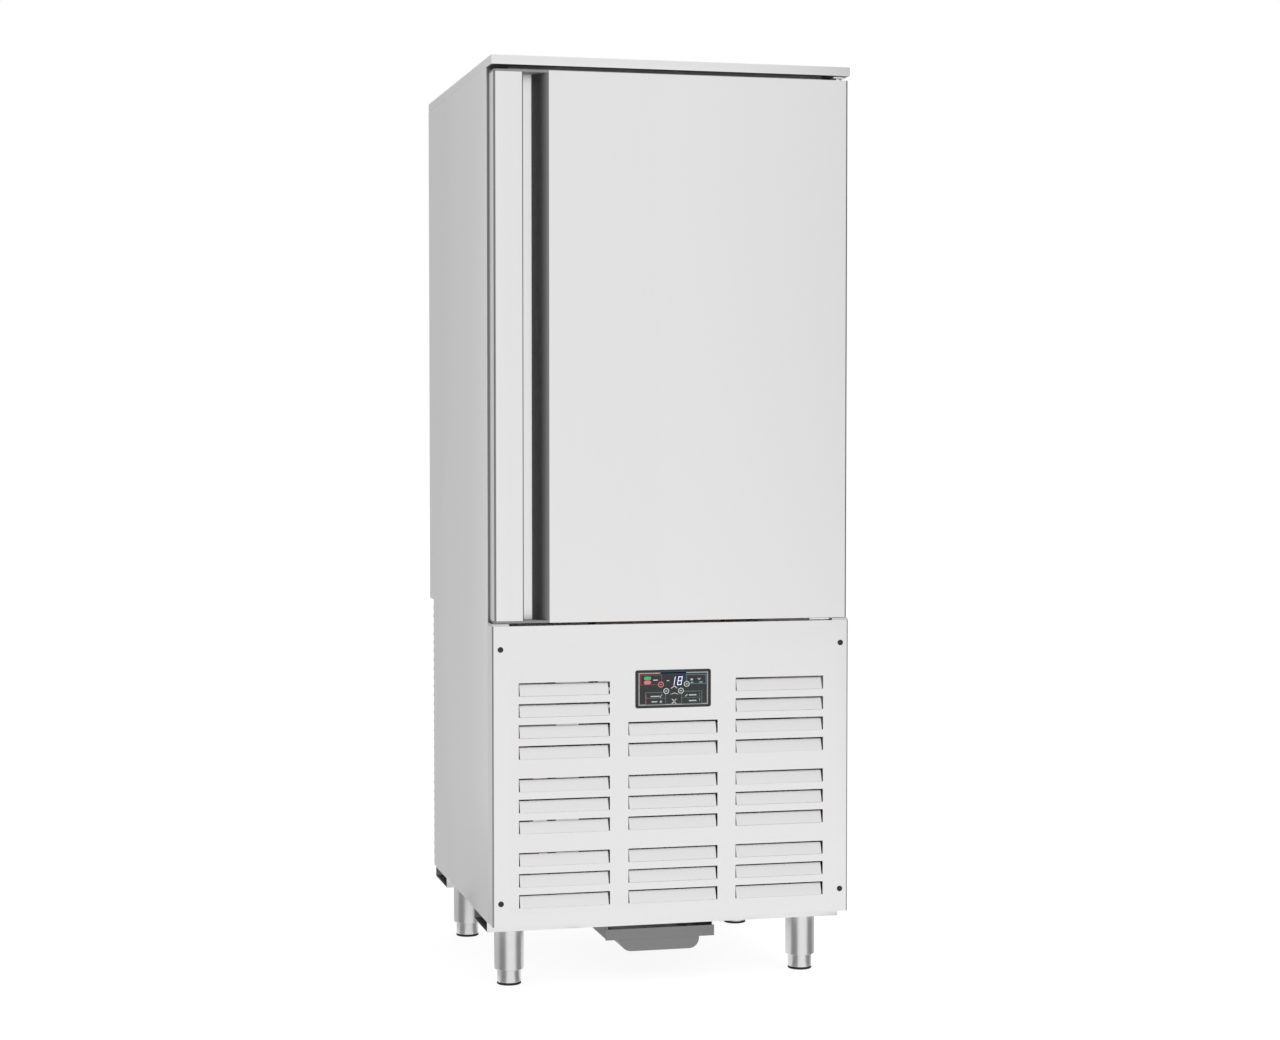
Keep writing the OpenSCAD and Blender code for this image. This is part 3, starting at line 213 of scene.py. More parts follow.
def moved_copy(piece, offset):
    activate(piece)
    bpy.ops.object.duplicate(linked=False)
    twin = bpy.context.object
    bpy.ops.transform.translate(value=offset)
    return settle(twin)


def repeated(piece, offsets):
    """The piece, and a copy of it moved by each offset"""
    return [piece] + [moved_copy(piece, offset) for offset in offsets]


def trace(name, points, closed=False):
    """One vertex, extruded from point to point"""
    deselect()
    points = [Vector(p) for p in points]
    bpy.ops.mesh.primitive_plane_add(size=MM, location=points[0])
    line = settle(bpy.context.object, name)
    bpy.ops.object.mode_set(mode="EDIT")
    bpy.ops.mesh.select_mode(type="VERT")
    bpy.ops.mesh.select_all(action="SELECT")
    bpy.ops.mesh.merge(type="CENTER")
    for here, there in zip(points, points[1:]):
        bpy.ops.mesh.extrude_region_move(TRANSFORM_OT_translate={"value": there - here})
    if closed:
        done()
        last = len(line.data.vertices) - 1
        for vertex in line.data.vertices:
            vertex.select = vertex.index in (0, last)
        bpy.ops.object.mode_set(mode="EDIT")
        bpy.ops.mesh.edge_face_add()
    bpy.ops.mesh.select_all(action="SELECT")
    done()
    return line


def fold(name, points, along, thickness, closed=False):
    """A sheet along a path. Its thickness lies opposite to path x along."""
    piece = trace(name, [*points, points[0]] if closed else points)
    along = Vector(along)
    edit_all(piece)
    bpy.ops.mesh.extrude_region_move(TRANSFORM_OT_translate={"value": along})
    bpy.ops.mesh.select_all(action="SELECT")
    bpy.ops.mesh.remove_doubles(threshold=MERGE_WITHIN)
    done()
    first, second = Vector(points[0]), Vector(points[1])
    outward = (second - first).cross(along).normalized()
    middle = (first + second + along) / 2
    nearest = min(piece.data.polygons, key=lambda f: (f.center - middle).length)
    if nearest.normal.dot(outward) < 0:
        edit_all(piece)
        bpy.ops.mesh.flip_normals()
        done()
    return modify(piece, "SOLIDIFY", thickness=thickness, offset=-1, use_even_offset=True)


def plate(name, outline, along):
    """A filled outline, extruded"""
    piece = trace(name, outline, closed=True)
    edit_all(piece)
    bpy.ops.mesh.edge_face_add()
    bpy.ops.mesh.select_all(action="SELECT")
    bpy.ops.mesh.extrude_region_move(TRANSFORM_OT_translate={"value": along})
    bpy.ops.mesh.select_all(action="SELECT")
    bpy.ops.mesh.normals_make_consistent(inside=False)
    done()
    return piece


def turn(name, profile, centre, axis="Z", steps=48):
    """A profile of (radius, height), spun round an axis through the centre"""
    centre = Vector(centre)
    if axis == "Z":
        points, spindle = [centre + Vector((r, 0, h)) for r, h in profile], (0, 0, 1)
    else:
        points, spindle = [centre + Vector((r, h, 0)) for r, h in profile], (0, 1, 0)
    piece = trace(name, points)
    edit_all(piece)
    bpy.ops.mesh.spin(steps=steps, angle=math.tau, center=centre, axis=spindle)
    bpy.ops.mesh.select_all(action="SELECT")
    bpy.ops.mesh.remove_doubles(threshold=MERGE_WITHIN)
    bpy.ops.mesh.normals_make_consistent(inside=False)
    done()
    return smooth(piece)


def arc(cx, cy, r, a0, a1, n=8):
    """Points of an arc from angle a0 to a1, in degrees"""
    return [(cx + r * math.cos(math.radians(a0 + (a1 - a0) * i / n)),
             cy + r * math.sin(math.radians(a0 + (a1 - a0) * i / n))) for i in range(n + 1)]


def foot_centre(leg):
    """The middle of a foot's box"""
    low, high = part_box("foot_" + leg)
    return (low + high) / 2


# ---- materials ----

def node(tree, kind, inputs=(), links=(), **settings):
    """Adds a node with its settings, input values and incoming links"""
    made = tree.nodes.new(kind)
    for key, value in settings.items():
        setattr(made, key, value)
    for key, value in dict(inputs).items():
        made.inputs[key].default_value = value
    for key, source in dict(links).items():
        tree.links.new(source, made.inputs[key])
    return made


def blank_material(name):
    """A material with an empty node tree"""
    material = bpy.data.materials.new(name)
    material.use_nodes = True
    material.node_tree.nodes.clear()
    return material


MATERIALS = {}
# The pattern of every finish, where its dark and its light tone begin, and the depth of its relief
NOISE = {"Scale": 1.0, "Detail": 3.0, "Roughness": 0.55}
TONE_STOPS = (0.3, 0.7)
RELIEF_DEPTH = 0.2 * MM


def finish(name, colour, metallic, roughness, grain, shade=0.03, spread=0.05, bump=0.02, **extra):
    """A procedural finish. grain is the pattern's size in millimetres along X, Y and Z."""
    material = blank_material(name)
    tree = material.node_tree
    place = node(tree, "ShaderNodeTexCoord")
    scaled = node(tree, "ShaderNodeMapping", {"Scale": [1000 / g for g in grain]},
                  {"Vector": place.outputs["Object"]})
    noise = node(tree, "ShaderNodeTexNoise", NOISE, {"Vector": scaled.outputs["Vector"]})
    tone = node(tree, "ShaderNodeValToRGB", links={"Fac": noise.outputs["Fac"]})
    for stop, position, factor in zip(tone.color_ramp.elements, TONE_STOPS, (1 - shade, 1 + shade)):
        stop.color = [min(c * factor, 1) for c in colour] + [1]
        stop.position = position
    low, high = max(roughness - spread, 0), roughness + spread
    rough = node(tree, "ShaderNodeMapRange", {"To Min": low, "To Max": high},
                 {"Value": noise.outputs["Fac"]})
    relief = node(tree, "ShaderNodeBump", {"Strength": bump, "Distance": RELIEF_DEPTH},
                  {"Height": noise.outputs["Fac"]})
    shader = node(tree, "ShaderNodeBsdfPrincipled", {"Metallic": metallic, **extra},
                  {"Base Color": tone.outputs["Color"], "Roughness": rough.outputs["Result"],
                   "Normal": relief.outputs["Normal"]})
    node(tree, "ShaderNodeOutputMaterial", links={"Surface": shader.outputs["BSDF"]})
    MATERIALS[name] = material


def make_materials(colours):
    steel = tuple(colours.steel)
    # Grain lies upright on every sheet. Real grain is about 0.1 mm wide, and is drawn at 2 mm so that it shows.
    upright = (2, 2, 160)
    # Satin 304 stainless sheet, belt-ground: a soft, even, slightly streaked reflection
    finish("outer_steel", steel, 1, 0.36, upright, shade=0.008, spread=0.03, bump=0.01)
    # Bright 304 stainless sheet, 2B rolled: smoother than the outside
    finish("liner_steel", linear("#E2E3E4"), 1, 0.3, upright, shade=0.012, spread=0.04, bump=0.01)
    # Dull stainless sheet in the tray: a mid grey
    finish("tray_steel", linear("#8A8A8B"), 1, 0.5, (3, 90, 3), shade=0.03)
    # Brushed stainless tube: long upright lines that catch the light, drawn 1.5 mm wide so that they show
    finish("leg_steel", linear("#DEDEDF"), 1, 0.34, (1.5, 1.5, 120), shade=0.02, spread=0.03)
    # The same sheet with painted shade: darker in the finger recess, the inside of the channels and the sides'
    # front returns, where shade falls
    finish("painted_deep_shade_steel", linear("#7C7C7D"), 1, 0.4, upright, shade=0.02, spread=0.03, bump=0.01)
    # The same sheet with painted shade: a darker line on the folded corners of the door, the handle profile and
    # the cover, in place of their dark reflection, and a darker underside on the slab, in place of its shadow
    finish("painted_soft_shade_steel", linear("#8E8E8F"), 1, 0.4, upright, shade=0.02, spread=0.03, bump=0.01)
    # Polished stainless wire: sharp highlights
    finish("wire_steel", linear("#E6E6E8"), 1, 0.16, (6, 6, 6), shade=0.01, spread=0.03, bump=0.004)
    # Polished steel plate: bright
    finish("hinge_steel", linear("#F0F0F1"), 1, 0.22, (2, 40, 2), shade=0.01, spread=0.04, bump=0.005)
    # Hot-dip galvanised sheet: spangles about 12 mm across
    finish("zinc_sheet", linear("#CFD1D2"), 1, 0.42, (12, 12, 12), shade=0.07, spread=0.08)
    # Plain aluminium fins: even and pale
    finish("fin_aluminium", linear("#DADCE0"), 1, 0.34, (1.5, 40, 40), shade=0.03)
    # Foamed polyurethane with closed cells about 1 mm across, drawn at 1.4 mm so that they show
    finish("foam", linear("#EBDCA8"), 0, 0.9, (1.4, 1.4, 1.4), shade=0.08, bump=0.5)
    # Moulded grey ABS with a fine spark-eroded texture, drawn at 0.8 mm so that it shows
    finish("grey_plastic", linear("#9A9A9C"), 0, 0.55, (0.8, 0.8, 0.8), shade=0.04, bump=0.2)
    # Moulded black nylon
    finish("black_plastic", linear("#1B1B1D"), 0, 0.5, (0.8, 0.8, 0.8), shade=0.06, bump=0.2)
    # Glossy polyester film over dark print
    finish("black_gloss", linear("#202223"), 0, 0.2, (1.5, 1.5, 1.5), shade=0.05, spread=0.03, bump=0.02)
    # Black stove enamel with a slight orange peel, about 3 mm
    finish("black_metal", linear("#1C1C1D"), 0, 0.32, (3, 3, 3), shade=0.05, bump=0.1)
    # Grey stove enamel
    finish("grey_metal", linear("#AEB0B3"), 0, 0.36, (3, 3, 3), shade=0.03, bump=0.1)
    # White powder coat
    finish("white_metal", linear("#ECECEC"), 0, 0.42, (2, 2, 2), shade=0.02, bump=0.15)
    # Blue stove enamel
    finish("blue_metal", linear("#2F5C9C"), 0, 0.34, (3, 3, 3), shade=0.04, bump=0.1)
    # Vulcanised nitrile rubber: dull, slightly dusty
    finish("rubber", linear("#222223"), 0, 0.75, (2, 2, 2), shade=0.12, bump=0.15)
    # Drawn copper tube, a little tarnished in patches about 25 mm long
    finish("copper", linear("#CE8A60"), 1, 0.3, (25, 25, 25), shade=0.1, spread=0.1)
    # Turned brass
    finish("brass", linear("#D8B366"), 1, 0.26, (3, 3, 1), shade=0.06)
    # Screen-printed inks on the overlay and the keys
    for ink, code in (("ink_white", "#D9DDDB"), ("ink_border", "#B9BDBB"), ("ink_red", "#B8434E"),
                      ("ink_teal", "#4F8F86"), ("ink_blue", "#5A93A6"), ("ink_navy", "#1F3A57"),
                      ("ink_green", "#5DBE8B"), ("ink_pink", "#E88C8C")):
        finish(ink, linear(code), 0, 0.4, (0.6, 0.6, 0.6), shade=0.04, bump=0.05)
    # Lit segments behind film
    glow = tuple(colours.digits)
    finish("display_glow", glow, 0, 0.4, (0.6, 0.6, 0.6), shade=0.02, bump=0,
           **{"Emission Color": glow + (1,), "Emission Strength": 0.7})


def dress(piece, name, body, slot, material, *nodes):
    """Gives a piece its name, finish and body, and hides the solids that it replaces"""
    piece.name = name
    piece.data.materials.clear()
    piece.data.materials.append(MATERIALS[material])
    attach(piece, body)
    if nodes:
        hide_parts(*nodes)


def second_finish(piece, material, test):
    """Gives the faces that pass the test another finish"""
    piece.data.materials.append(MATERIALS[material])
    index = len(piece.data.materials) - 1
    for face in piece.data.polygons:
        if test(face):
            face.material_index = index


# ---- stage ----

# Lens and sensor in millimetres, place in metres and turn in degrees
CAMERA_LENS, CAMERA_SENSOR = 69.66, 36
CAMERA_PLACE, CAMERA_TURN = (-1.3545, -5.6248, 1.2348), (87.805, 0, -13.82)
# A square light box above the front right, aimed at the machine's middle
KEY_PLACE, KEY_AIM, KEY_SIZE, KEY_POWER = (2.9, -4.1, 4.6), (0, 0, 1), 4, 110
# The world lights matt surfaces at this level, and the camera and reflections see it white
SKY_LEVEL = 0.6
# The floor is mostly its own white, and the rest takes the object's shadow
FLOOR_LEVEL, FLOOR_SHARE = 1.25, 0.7
FLOOR_SIZE, FLOOR_DROP, FLOOR_GREY = 60, 0.5 * MM, 0.8
CARDS = (
    # name, direction from the front towards the right in degrees, distance, width, level
    ("card_left", -78, 4.0, 4.4, 0.45),
    ("card_right", 52, 4.0, 1.9, 0.2),
    ("card_right_edge", 88, 4.0, 3.4, 0.45),
    ("card_back", 180, 1.2, 3.4, 0.62),
)
CARD_HEIGHT, CARD_MIDDLE = 5, 1.6
# Grey sheets on the floor beside the machine, which the lower part of its sides reflects
FLOOR_CARD_X, FLOOR_CARD_Y, FLOOR_CARD_LEVEL = (0.42, 1.3), (-0.4, 1.2), 0.6
# Dark wedges on the floor beside each leg, each with an upright end, which its tube reflects as bands
WEDGE_BEARINGS, WEDGE_HALF, WEDGE_REACH, WEDGE_END, WEDGE_LEVEL = (-58, 66), 26, (0.045, 0.2), 0.1, 0.28
FLOOR_CARD_T, WEDGE_T = 0.1 * MM, 0.3 * MM


class CHILLER_OT_stage(bpy.types.Operator):
    """Camera, floor, soft light and the grey cards that the steel reflects"""
    bl_idname = "chiller.stage"
    bl_label = "Stage"

    def execute(self, context):
        self.add_camera(context)
        self.light_world(context)
        self.lay_floor(context)
        self.hang_key_light(context)
        for name, bearing, distance, width, level in CARDS:
            self.card(context, name, bearing, distance, width, level)
        for name, side in (("left", -1), ("right", 1)):
            outline = [(side * x, y, 0) for x, y in bar(*FLOOR_CARD_X, *FLOOR_CARD_Y)]
            self.reflected(plate("floor_card_" + name, outline, (0, 0, FLOOR_CARD_T)), FLOOR_CARD_LEVEL)
        for leg in LEGS:
            for bearing in WEDGE_BEARINGS:
                self.wedge("wedge_%s_%d" % (leg, abs(bearing)), foot_centre(leg), bearing)
        return {"FINISHED"}

    def add_camera(self, context):
        data = bpy.data.cameras.new("camera")
        data.lens = CAMERA_LENS
        data.sensor_width = CAMERA_SENSOR
        data.clip_end = 100
        camera = bpy.data.objects.new("camera", data)
        camera.location = CAMERA_PLACE
        camera.rotation_euler = Euler([math.radians(a) for a in CAMERA_TURN])
        context.scene.collection.objects.link(camera)
        context.scene.camera = camera
        context.scene.view_settings.view_transform = "Standard"

    def light_world(self, context):
        world = bpy.data.worlds.new("studio")
        context.scene.world = world
        world.use_nodes = True
        tree = world.node_tree
        tree.nodes.clear()
        soft = node(tree, "ShaderNodeBackground", {"Color": (1, 1, 1, 1), "Strength": SKY_LEVEL})
        white = node(tree, "ShaderNodeBackground", {"Color": (1, 1, 1, 1), "Strength": 1.0})
        mix = node(tree, "ShaderNodeMixShader",
                   links={0: self.seen(tree), 1: soft.outputs[0], 2: white.outputs[0]})
        node(tree, "ShaderNodeOutputWorld", links={"Surface": mix.outputs[0]})

    def lay_floor(self, context):
        deselect()
        bpy.ops.mesh.primitive_plane_add(size=FLOOR_SIZE, location=(0, 0, -FLOOR_DROP))
        floor = settle(context.object, "floor")
        paper = blank_material("white_floor")
        tree = paper.node_tree
        matt = node(tree, "ShaderNodeBsdfDiffuse", {"Color": (FLOOR_GREY, FLOOR_GREY, FLOOR_GREY, 1)})
        lit = node(tree, "ShaderNodeEmission", {"Color": (1, 1, 1, 1), "Strength": FLOOR_LEVEL})
        bright = node(tree, "ShaderNodeMixShader", {0: FLOOR_SHARE}, {1: matt.outputs[0], 2: lit.outputs[0]})
        shown = node(tree, "ShaderNodeMixShader",
                     links={0: self.seen(tree), 1: matt.outputs[0], 2: bright.outputs[0]})
        node(tree, "ShaderNodeOutputMaterial", links={"Surface": shown.outputs[0]})
        floor.data.materials.append(paper)

    def hang_key_light(self, context):
        deselect()
        bpy.ops.object.light_add(type="AREA", location=KEY_PLACE)
        key = context.object
        key.name = "key_light_box"
        key.data.shape = "SQUARE"
        key.data.size = KEY_SIZE
        key.data.energy = KEY_POWER
        key.rotation_euler = (Vector(KEY_AIM) - key.location).to_track_quat("-Z", "Y").to_euler()
        key.visible_glossy = False

    def wedge(self, name, centre, bearing):
        near, far = WEDGE_REACH
        corners = [(near, -WEDGE_HALF), (far, -WEDGE_HALF), (far, WEDGE_HALF), (near, WEDGE_HALF)]
        places = [Vector((centre.x + r * math.sin(math.radians(bearing + a)),
                          centre.y - r * math.cos(math.radians(bearing + a)), 0)) for r, a in corners]
        self.reflected(plate(name, places, (0, 0, WEDGE_T)), WEDGE_LEVEL)
        rise = Vector((0, 0, WEDGE_END))
        upright = [places[1], places[2], places[2] + rise, places[1] + rise]
        outward = Vector((math.sin(math.radians(bearing)), -math.cos(math.radians(bearing)), 0))
        self.reflected(plate(name + "_end", upright, outward * WEDGE_T), WEDGE_LEVEL)

    def seen(self, tree):
        """1 for camera, glossy and transmission rays"""
        path = node(tree, "ShaderNodeLightPath")
        first = node(tree, "ShaderNodeMath", links={0: path.outputs["Is Camera Ray"],
                     1: path.outputs["Is Glossy Ray"]}, operation="MAXIMUM")
        return node(tree, "ShaderNodeMath", links={0: first.outputs[0],
                    1: path.outputs["Is Transmission Ray"]}, operation="MAXIMUM").outputs[0]

    def card(self, context, name, bearing, distance, width, level):
        angle = math.radians(bearing)
        spot = Vector((math.sin(angle) * distance, -math.cos(angle) * distance, CARD_MIDDLE))
        deselect()
        bpy.ops.mesh.primitive_plane_add(size=1, location=spot, rotation=(math.pi / 2, 0, angle))
        sheet = context.object
        sheet.scale = (width, CARD_HEIGHT, 1)
        self.reflected(settle(sheet, name), level)

    def reflected(self, sheet, level):
        """A plain grey that only reflections show"""
        material = blank_material(sheet.name)
        tree = material.node_tree
        grey = node(tree, "ShaderNodeEmission", {"Color": (1, 1, 1, 1), "Strength": level})
        node(tree, "ShaderNodeOutputMaterial", links={"Surface": grey.outputs[0]})
        sheet.data.materials.append(material)
        sheet.visible_camera = False
        sheet.visible_diffuse = False
        sheet.visible_shadow = False


class CHILLER_OT_finishes(bpy.types.Operator):
    """Makes the finishes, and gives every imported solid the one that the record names"""
    bl_idname = "chiller.finishes"
    bl_label = "Finishes"

    def execute(self, context):
        make_materials(context.scene.chiller_colours)
        for part in frame["record"]["subparts"]:
            solid = frame["nodes"][part["node"]]
            solid.data.materials.clear()
            solid.data.materials.append(MATERIALS[part["material_slot"]])
        return {"FINISHED"}


# ---- cabinet ----

class CHILLER_OT_top_slab(bpy.types.Operator):
    """Flat top slab with rounded edges and a shallow step under it"""
    bl_idname = "chiller.top_slab"
    bl_label = "Top slab"

    def execute(self, context):
        border, step = 25 * MM, 0.4 * MM
        slab = block("top_slab_sheet", *SLAB)
        pick(slab, lambda f: f.normal.z < -FACING)
        bpy.ops.mesh.inset(thickness=border)
        bpy.ops.transform.translate(value=(0, 0, step))
        done()
        soften(slab, context.scene.chiller_sizes.slab_edge, 3)
        dress(slab, "top_slab_sheet", "cabinet", "outer_steel", "outer_steel", "top_slab")
        # Painted shade: the slab's underside gets the darker finish, in place of the shadow under it
        second_finish(slab, "painted_soft_shade_steel", lambda f: f.normal.z < -FACING)
        return {"FINISHED"}


class CHILLER_OT_side_sheets(bpy.types.Operator):
    """Side sheets, stepped at the lower rear, with their front returns"""
    bl_idname = "chiller.side_sheets"
    bl_label = "Side sheets"

    def execute(self, context):
        edge = context.scene.chiller_sizes.edge
        (left, front, foot), (_, rear, top) = SIDE
        cab_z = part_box("cabinet_bottom_skin")[0].z
        low_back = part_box("machine_floor")[1].y + SHEET
        frame_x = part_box("thermal_break_frame")[1].x
        for name, s in (("left", -1), ("right", 1)):
            outer = -s * left
            outline = [(outer, front, foot), (outer, low_back, foot), (outer, low_back, cab_z),
                       (outer, rear, cab_z), (outer, rear, top), (outer, front, top)]
            sheet = plate("side", outline, (-s * SHEET, 0, 0))
            soften(sheet, edge)
            xs = sorted((s * frame_x, outer - s * SHEET))
            turned_in = block("return", (xs[0], front, cab_z), (xs[1], front + SHEET, top))
            soften(turned_in, edge / 2)
            sheet = join("side", sheet, turned_in)
            dress(sheet, "side_sheet_" + name, "cabinet", "outer_steel", "outer_steel", "side_skin_" + name)
            # Painted shade: the front returns, in the gap beside the door, get the dark finish
            second_finish(sheet, "painted_deep_shade_steel",
                          lambda f: f.normal.y < -FACING and abs(f.center.x) < abs(outer) - SHEET)
        return {"FINISHED"}


class CHILLER_OT_front_cover(bpy.types.Operator):
    """Louvred front cover, its 28 louvres folded inward"""
    bl_idname = "chiller.front_cover"
    bl_label = "Front cover"

    def execute(self, context):
        low, high = COVER
        r, lip, through = 3 * MM, 20 * MM, 3 * MM
        window_x, window_z = 73 * MM, 32 * MM
        path = [(low.x, high.y)] + arc(low.x + r, low.y + r, r, 180, 270, 6) \
            + arc(high.x - r, low.y + r, r, 270, 360, 6) + [(high.x, high.y)]
        cover = fold("cover", [(x, y, low.z) for x, y in path], (0, 0, high.z - low.z), SHEET)
        cutters = repeated(self.cutter(through), self.offsets())
        window = block("window", (PANEL_X - window_x, low.y - MM, PANEL_Z - window_z),
                       (PANEL_X + window_x, low.y + through, PANEL_Z + window_z))
        cut(cover, join("cutter", *cutters, window))
        returns = [block("lip", (low.x + SHEET, low.y + SHEET, z), (high.x - SHEET, low.y + lip, z + SHEET))
                   for z in (low.z, high.z - SHEET)]
        louvres = repeated(self.louvre(), self.offsets())
        cover = smooth(join("cover", cover, *returns, *louvres))
        dress(cover, "louvred_cover", "cabinet", "outer_steel", "outer_steel", "front_cover")
        # Painted shade: the rounded front corners get a darker line, in place of their dark reflection
        second_finish(cover, "painted_soft_shade_steel", lambda f: f.center.y < low.y + r
                      and min(f.center.x - low.x, high.x - f.center.x) < r)
        return {"FINISHED"}

    def offsets(self):
        """From the middle column's lowest slot to every other slot"""
        slots = [(c, z) for c in COLUMNS for z in SLOT_FEET[:MIDDLE_ROWS if c == 0 else len(SLOT_FEET)]]
        return [Vector((c, 0, z - SLOT_FEET[0])) * MM for c, z in slots if (c, z) != (0, SLOT_FEET[0])]

    def cutter(self, through):
        y, z = COVER[0].y, SLOT_FEET[0] * MM
        return block("slot", (-SLOT_W / 2 * MM, y - MM, z), (SLOT_W / 2 * MM, y + through, z + SLOT_H * MM))

    def louvre(self):
        y, z = COVER[0].y, SLOT_FEET[0] * MM
        reach = (SLOT_H - SLOT_GAP) * MM
        lean = math.radians(SLOT_TILT)
        tip = (y + reach * math.sin(lean), z + reach * math.cos(lean))
        half = (SLOT_W / 2 - SLOT_GAP) * MM
        points = [(half, y, z - MM), (half, y, z), (half, *tip)]
        flap = fold("louvre", points, (-2 * half, 0, 0), SHEET)
        if max(v.co.y for v in flap.data.vertices) < tip[0] + 0.5 * MM:
            raise RuntimeError("the louvre's thickness lies on the wrong side")
        return soften(flap, 0.2 * MM, 1)


class CHILLER_OT_cover_screws(bpy.types.Operator):
    """Four black screws with hexagonal sockets"""
    bl_idname = "chiller.cover_screws"
    bl_label = "Cover screws"

    def execute(self, context):
        low, high = SCREWS
        # Radii and lengths in millimetres: a domed head in front of the cover and a shank behind its face
        head, rise, shank, length, socket = 6.2, 1.9, 2.5, 16, 2.4
        r = head * MM
        first = Vector((low.x + r, COVER[0].y, low.z + r))
        profile = [(0, -rise), (4.6, -rise), (5.7, -1.5), (head, -0.7), (head, 0), (shank, 0),
                   (shank, length), (0, length)]
        screw = turn("screw", [(a * MM, b * MM) for a, b in profile], first, "Y", 32)
        deselect()
        bpy.ops.mesh.primitive_cylinder_add(vertices=6, radius=socket * MM, depth=socket * MM,
                                            location=first - Vector((0, rise * MM, 0)),
                                            rotation=(math.pi / 2, 0, 0))
        cut(screw, settle(context.object, "socket"))
        dx, dz = high.x - low.x - 2 * r, high.z - low.z - 2 * r
        screws = repeated(screw, ((dx, 0, 0), (0, 0, dz), (dx, 0, dz)))
        dress(smooth(join("screws", *screws)), "cover_screws", "cabinet", "black_metal", "black_metal",
              "front_cover_screws")
        return {"FINISHED"}


class CHILLER_OT_hinges(bpy.types.Operator):
    """Hinge plates and pins"""
    bl_idname = "chiller.hinges"
    bl_label = "Hinge plates"

    def execute(self, context):
        joint = [j for j in frame["joints"] if j["name"] == "door_hinge"][0]
        x, y = joint["pos_m"][:2]
        edge = 0.6 * MM
        t = 4 * MM
        low, high = HINGE_LOW
        base = soften(block("plate", low, (high.x, high.y, low.z + t)), edge)
        pin = self.pin((x, y), low.z + t, high.z)
        dress(join("low", base, pin), "lower_hinge_plate", "cabinet", "hinge_steel", "hinge_steel",
              "hinge_bracket_bottom")
        low, high = HINGE_TOP
        face_y = SIDE[0].y
        top = soften(block("plate", (low.x, low.y, high.z - t), high), edge)
        tab = soften(block("tab", (low.x, face_y - t, DOOR[1].z + MM), (high.x, face_y, high.z - t)), edge)
        pin = self.pin((x, y), low.z, high.z - t)
        dress(join("top", top, tab, pin), "upper_hinge_plate", "cabinet", "hinge_steel", "hinge_steel",
              "hinge_bracket_top")
        return {"FINISHED"}

    def pin(self, place, z0, z1):
        r, c, h = 6 * MM, 0.6 * MM, z1 - z0
        profile = [(0, 0), (r - c, 0), (r, c), (r, h - c), (r - c, h), (0, h)]
        return turn("pin", profile, (*place, z0), steps=32)


# ---- base ----

class CHILLER_OT_base_channels(bpy.types.Operator):
    """Two folded channels under the compartment, open at their ends, with a hole for each foot's stud"""
    bl_idname = "chiller.base_channels"
    bl_label = "Base channels"

    def execute(self, context):
        low, high = CHANNELS
        depth, wall, bend, stud_hole = 160 * MM, 2 * MM, 0.5 * MM, 9 * MM
        made = []
        for y in (low.y, high.y - depth):
            back = y + depth
            profile = [(low.x, y, low.z), (low.x, back, low.z), (low.x, back, high.z), (low.x, y, high.z)]
            made.append(soften(fold("channel", profile, (high.x - low.x, 0, 0), wall, closed=True), bend))
        pair = join("channels", *made)
        drills = []
        for leg in LEGS:
            centre = foot_centre(leg)
            deselect()
            bpy.ops.mesh.primitive_cylinder_add(vertices=32, radius=stud_hole, depth=3 * wall,
                                                location=(centre.x, centre.y, low.z + wall / 2))
            drills.append(settle(context.object, "drill"))
        cut(pair, join("drills", *drills))
        dress(pair, "channel_pair", "cabinet", "outer_steel", "outer_steel", "base_channels")
        middle = (low + high) / 2

        # Painted shade: the channels' inner faces get the dark finish, for the shade inside them
        def faces_in(face):
            y = low.y + depth / 2 if face.center.y < middle.y else high.y - depth / 2
            return face.normal.y * (y - face.center.y) + face.normal.z * (middle.z - face.center.z) > MM

        second_finish(pair, "painted_deep_shade_steel", faces_in)
        return {"FINISHED"}


class CHILLER_OT_legs(bpy.types.Operator):
    """Leg sleeves, feet and their rubber pads"""
    bl_idname = "chiller.legs"
    bl_label = "Legs"

    def execute(self, context):
        centres = {leg: foot_centre(leg).xy for leg in LEGS}
        start = centres[LEGS[0]]
        # Radii and heights in millimetres from here on
        top, foot = SLEEVES[1].z / MM, SLEEVES[0].z / MM
        # A tube with a rounded lower rim, and inside it a collar that guides the foot
        outer, wall, bore, collar_h = 32.7, 2, 26.7, 8
        inner = outer - wall
        sleeve = [(bore, foot), (inner - 0.5, foot)] + arc(inner, foot + wall, wall, 285, 360, 5) \
            + [(outer, top), (inner, top), (inner, foot + collar_h), (bore, foot + collar_h), (bore, foot)]
        first = turn("sleeve", [(r * MM, z * MM) for r, z in sleeve], (*start, 0), steps=64)
        sleeves = repeated(first, [(*(centres[leg] - start), 0) for leg in LEGS[1:]])
        dress(join("sleeves", *sleeves), "leg_tubes", "cabinet", "leg_steel", "leg_steel", "leg_sleeves")
        foot_r, edge, pad_h, tube_top, stud_r = 26.4, 0.8, 5, 80, 8
        tube = [(0, pad_h), (foot_r - edge, pad_h), (foot_r, pad_h + edge), (foot_r, tube_top - edge),
                (foot_r - edge, tube_top), (stud_r, tube_top), (stud_r, top), (0, top)]
        pad = [(0, 0.2), (25.6, 0.2), (26.9, 1.2), (26.9, 4.2), (26.3, 4.9), (0, 4.9)]
        for name, centre in centres.items():
            shank = turn("foot", [(r * MM, z * MM) for r, z in tube], (*centre, 0), steps=64)
            dress(shank, "foot_tube_" + name, "foot_" + name, "leg_steel", "leg_steel", "foot_" + name)
            ring = turn("pad", [(r * MM, z * MM) for r, z in pad], (*centre, 0), steps=64)
            dress(ring, "foot_pad_" + name, "foot_" + name, "leg_steel", "rubber")
        return {"FINISHED"}


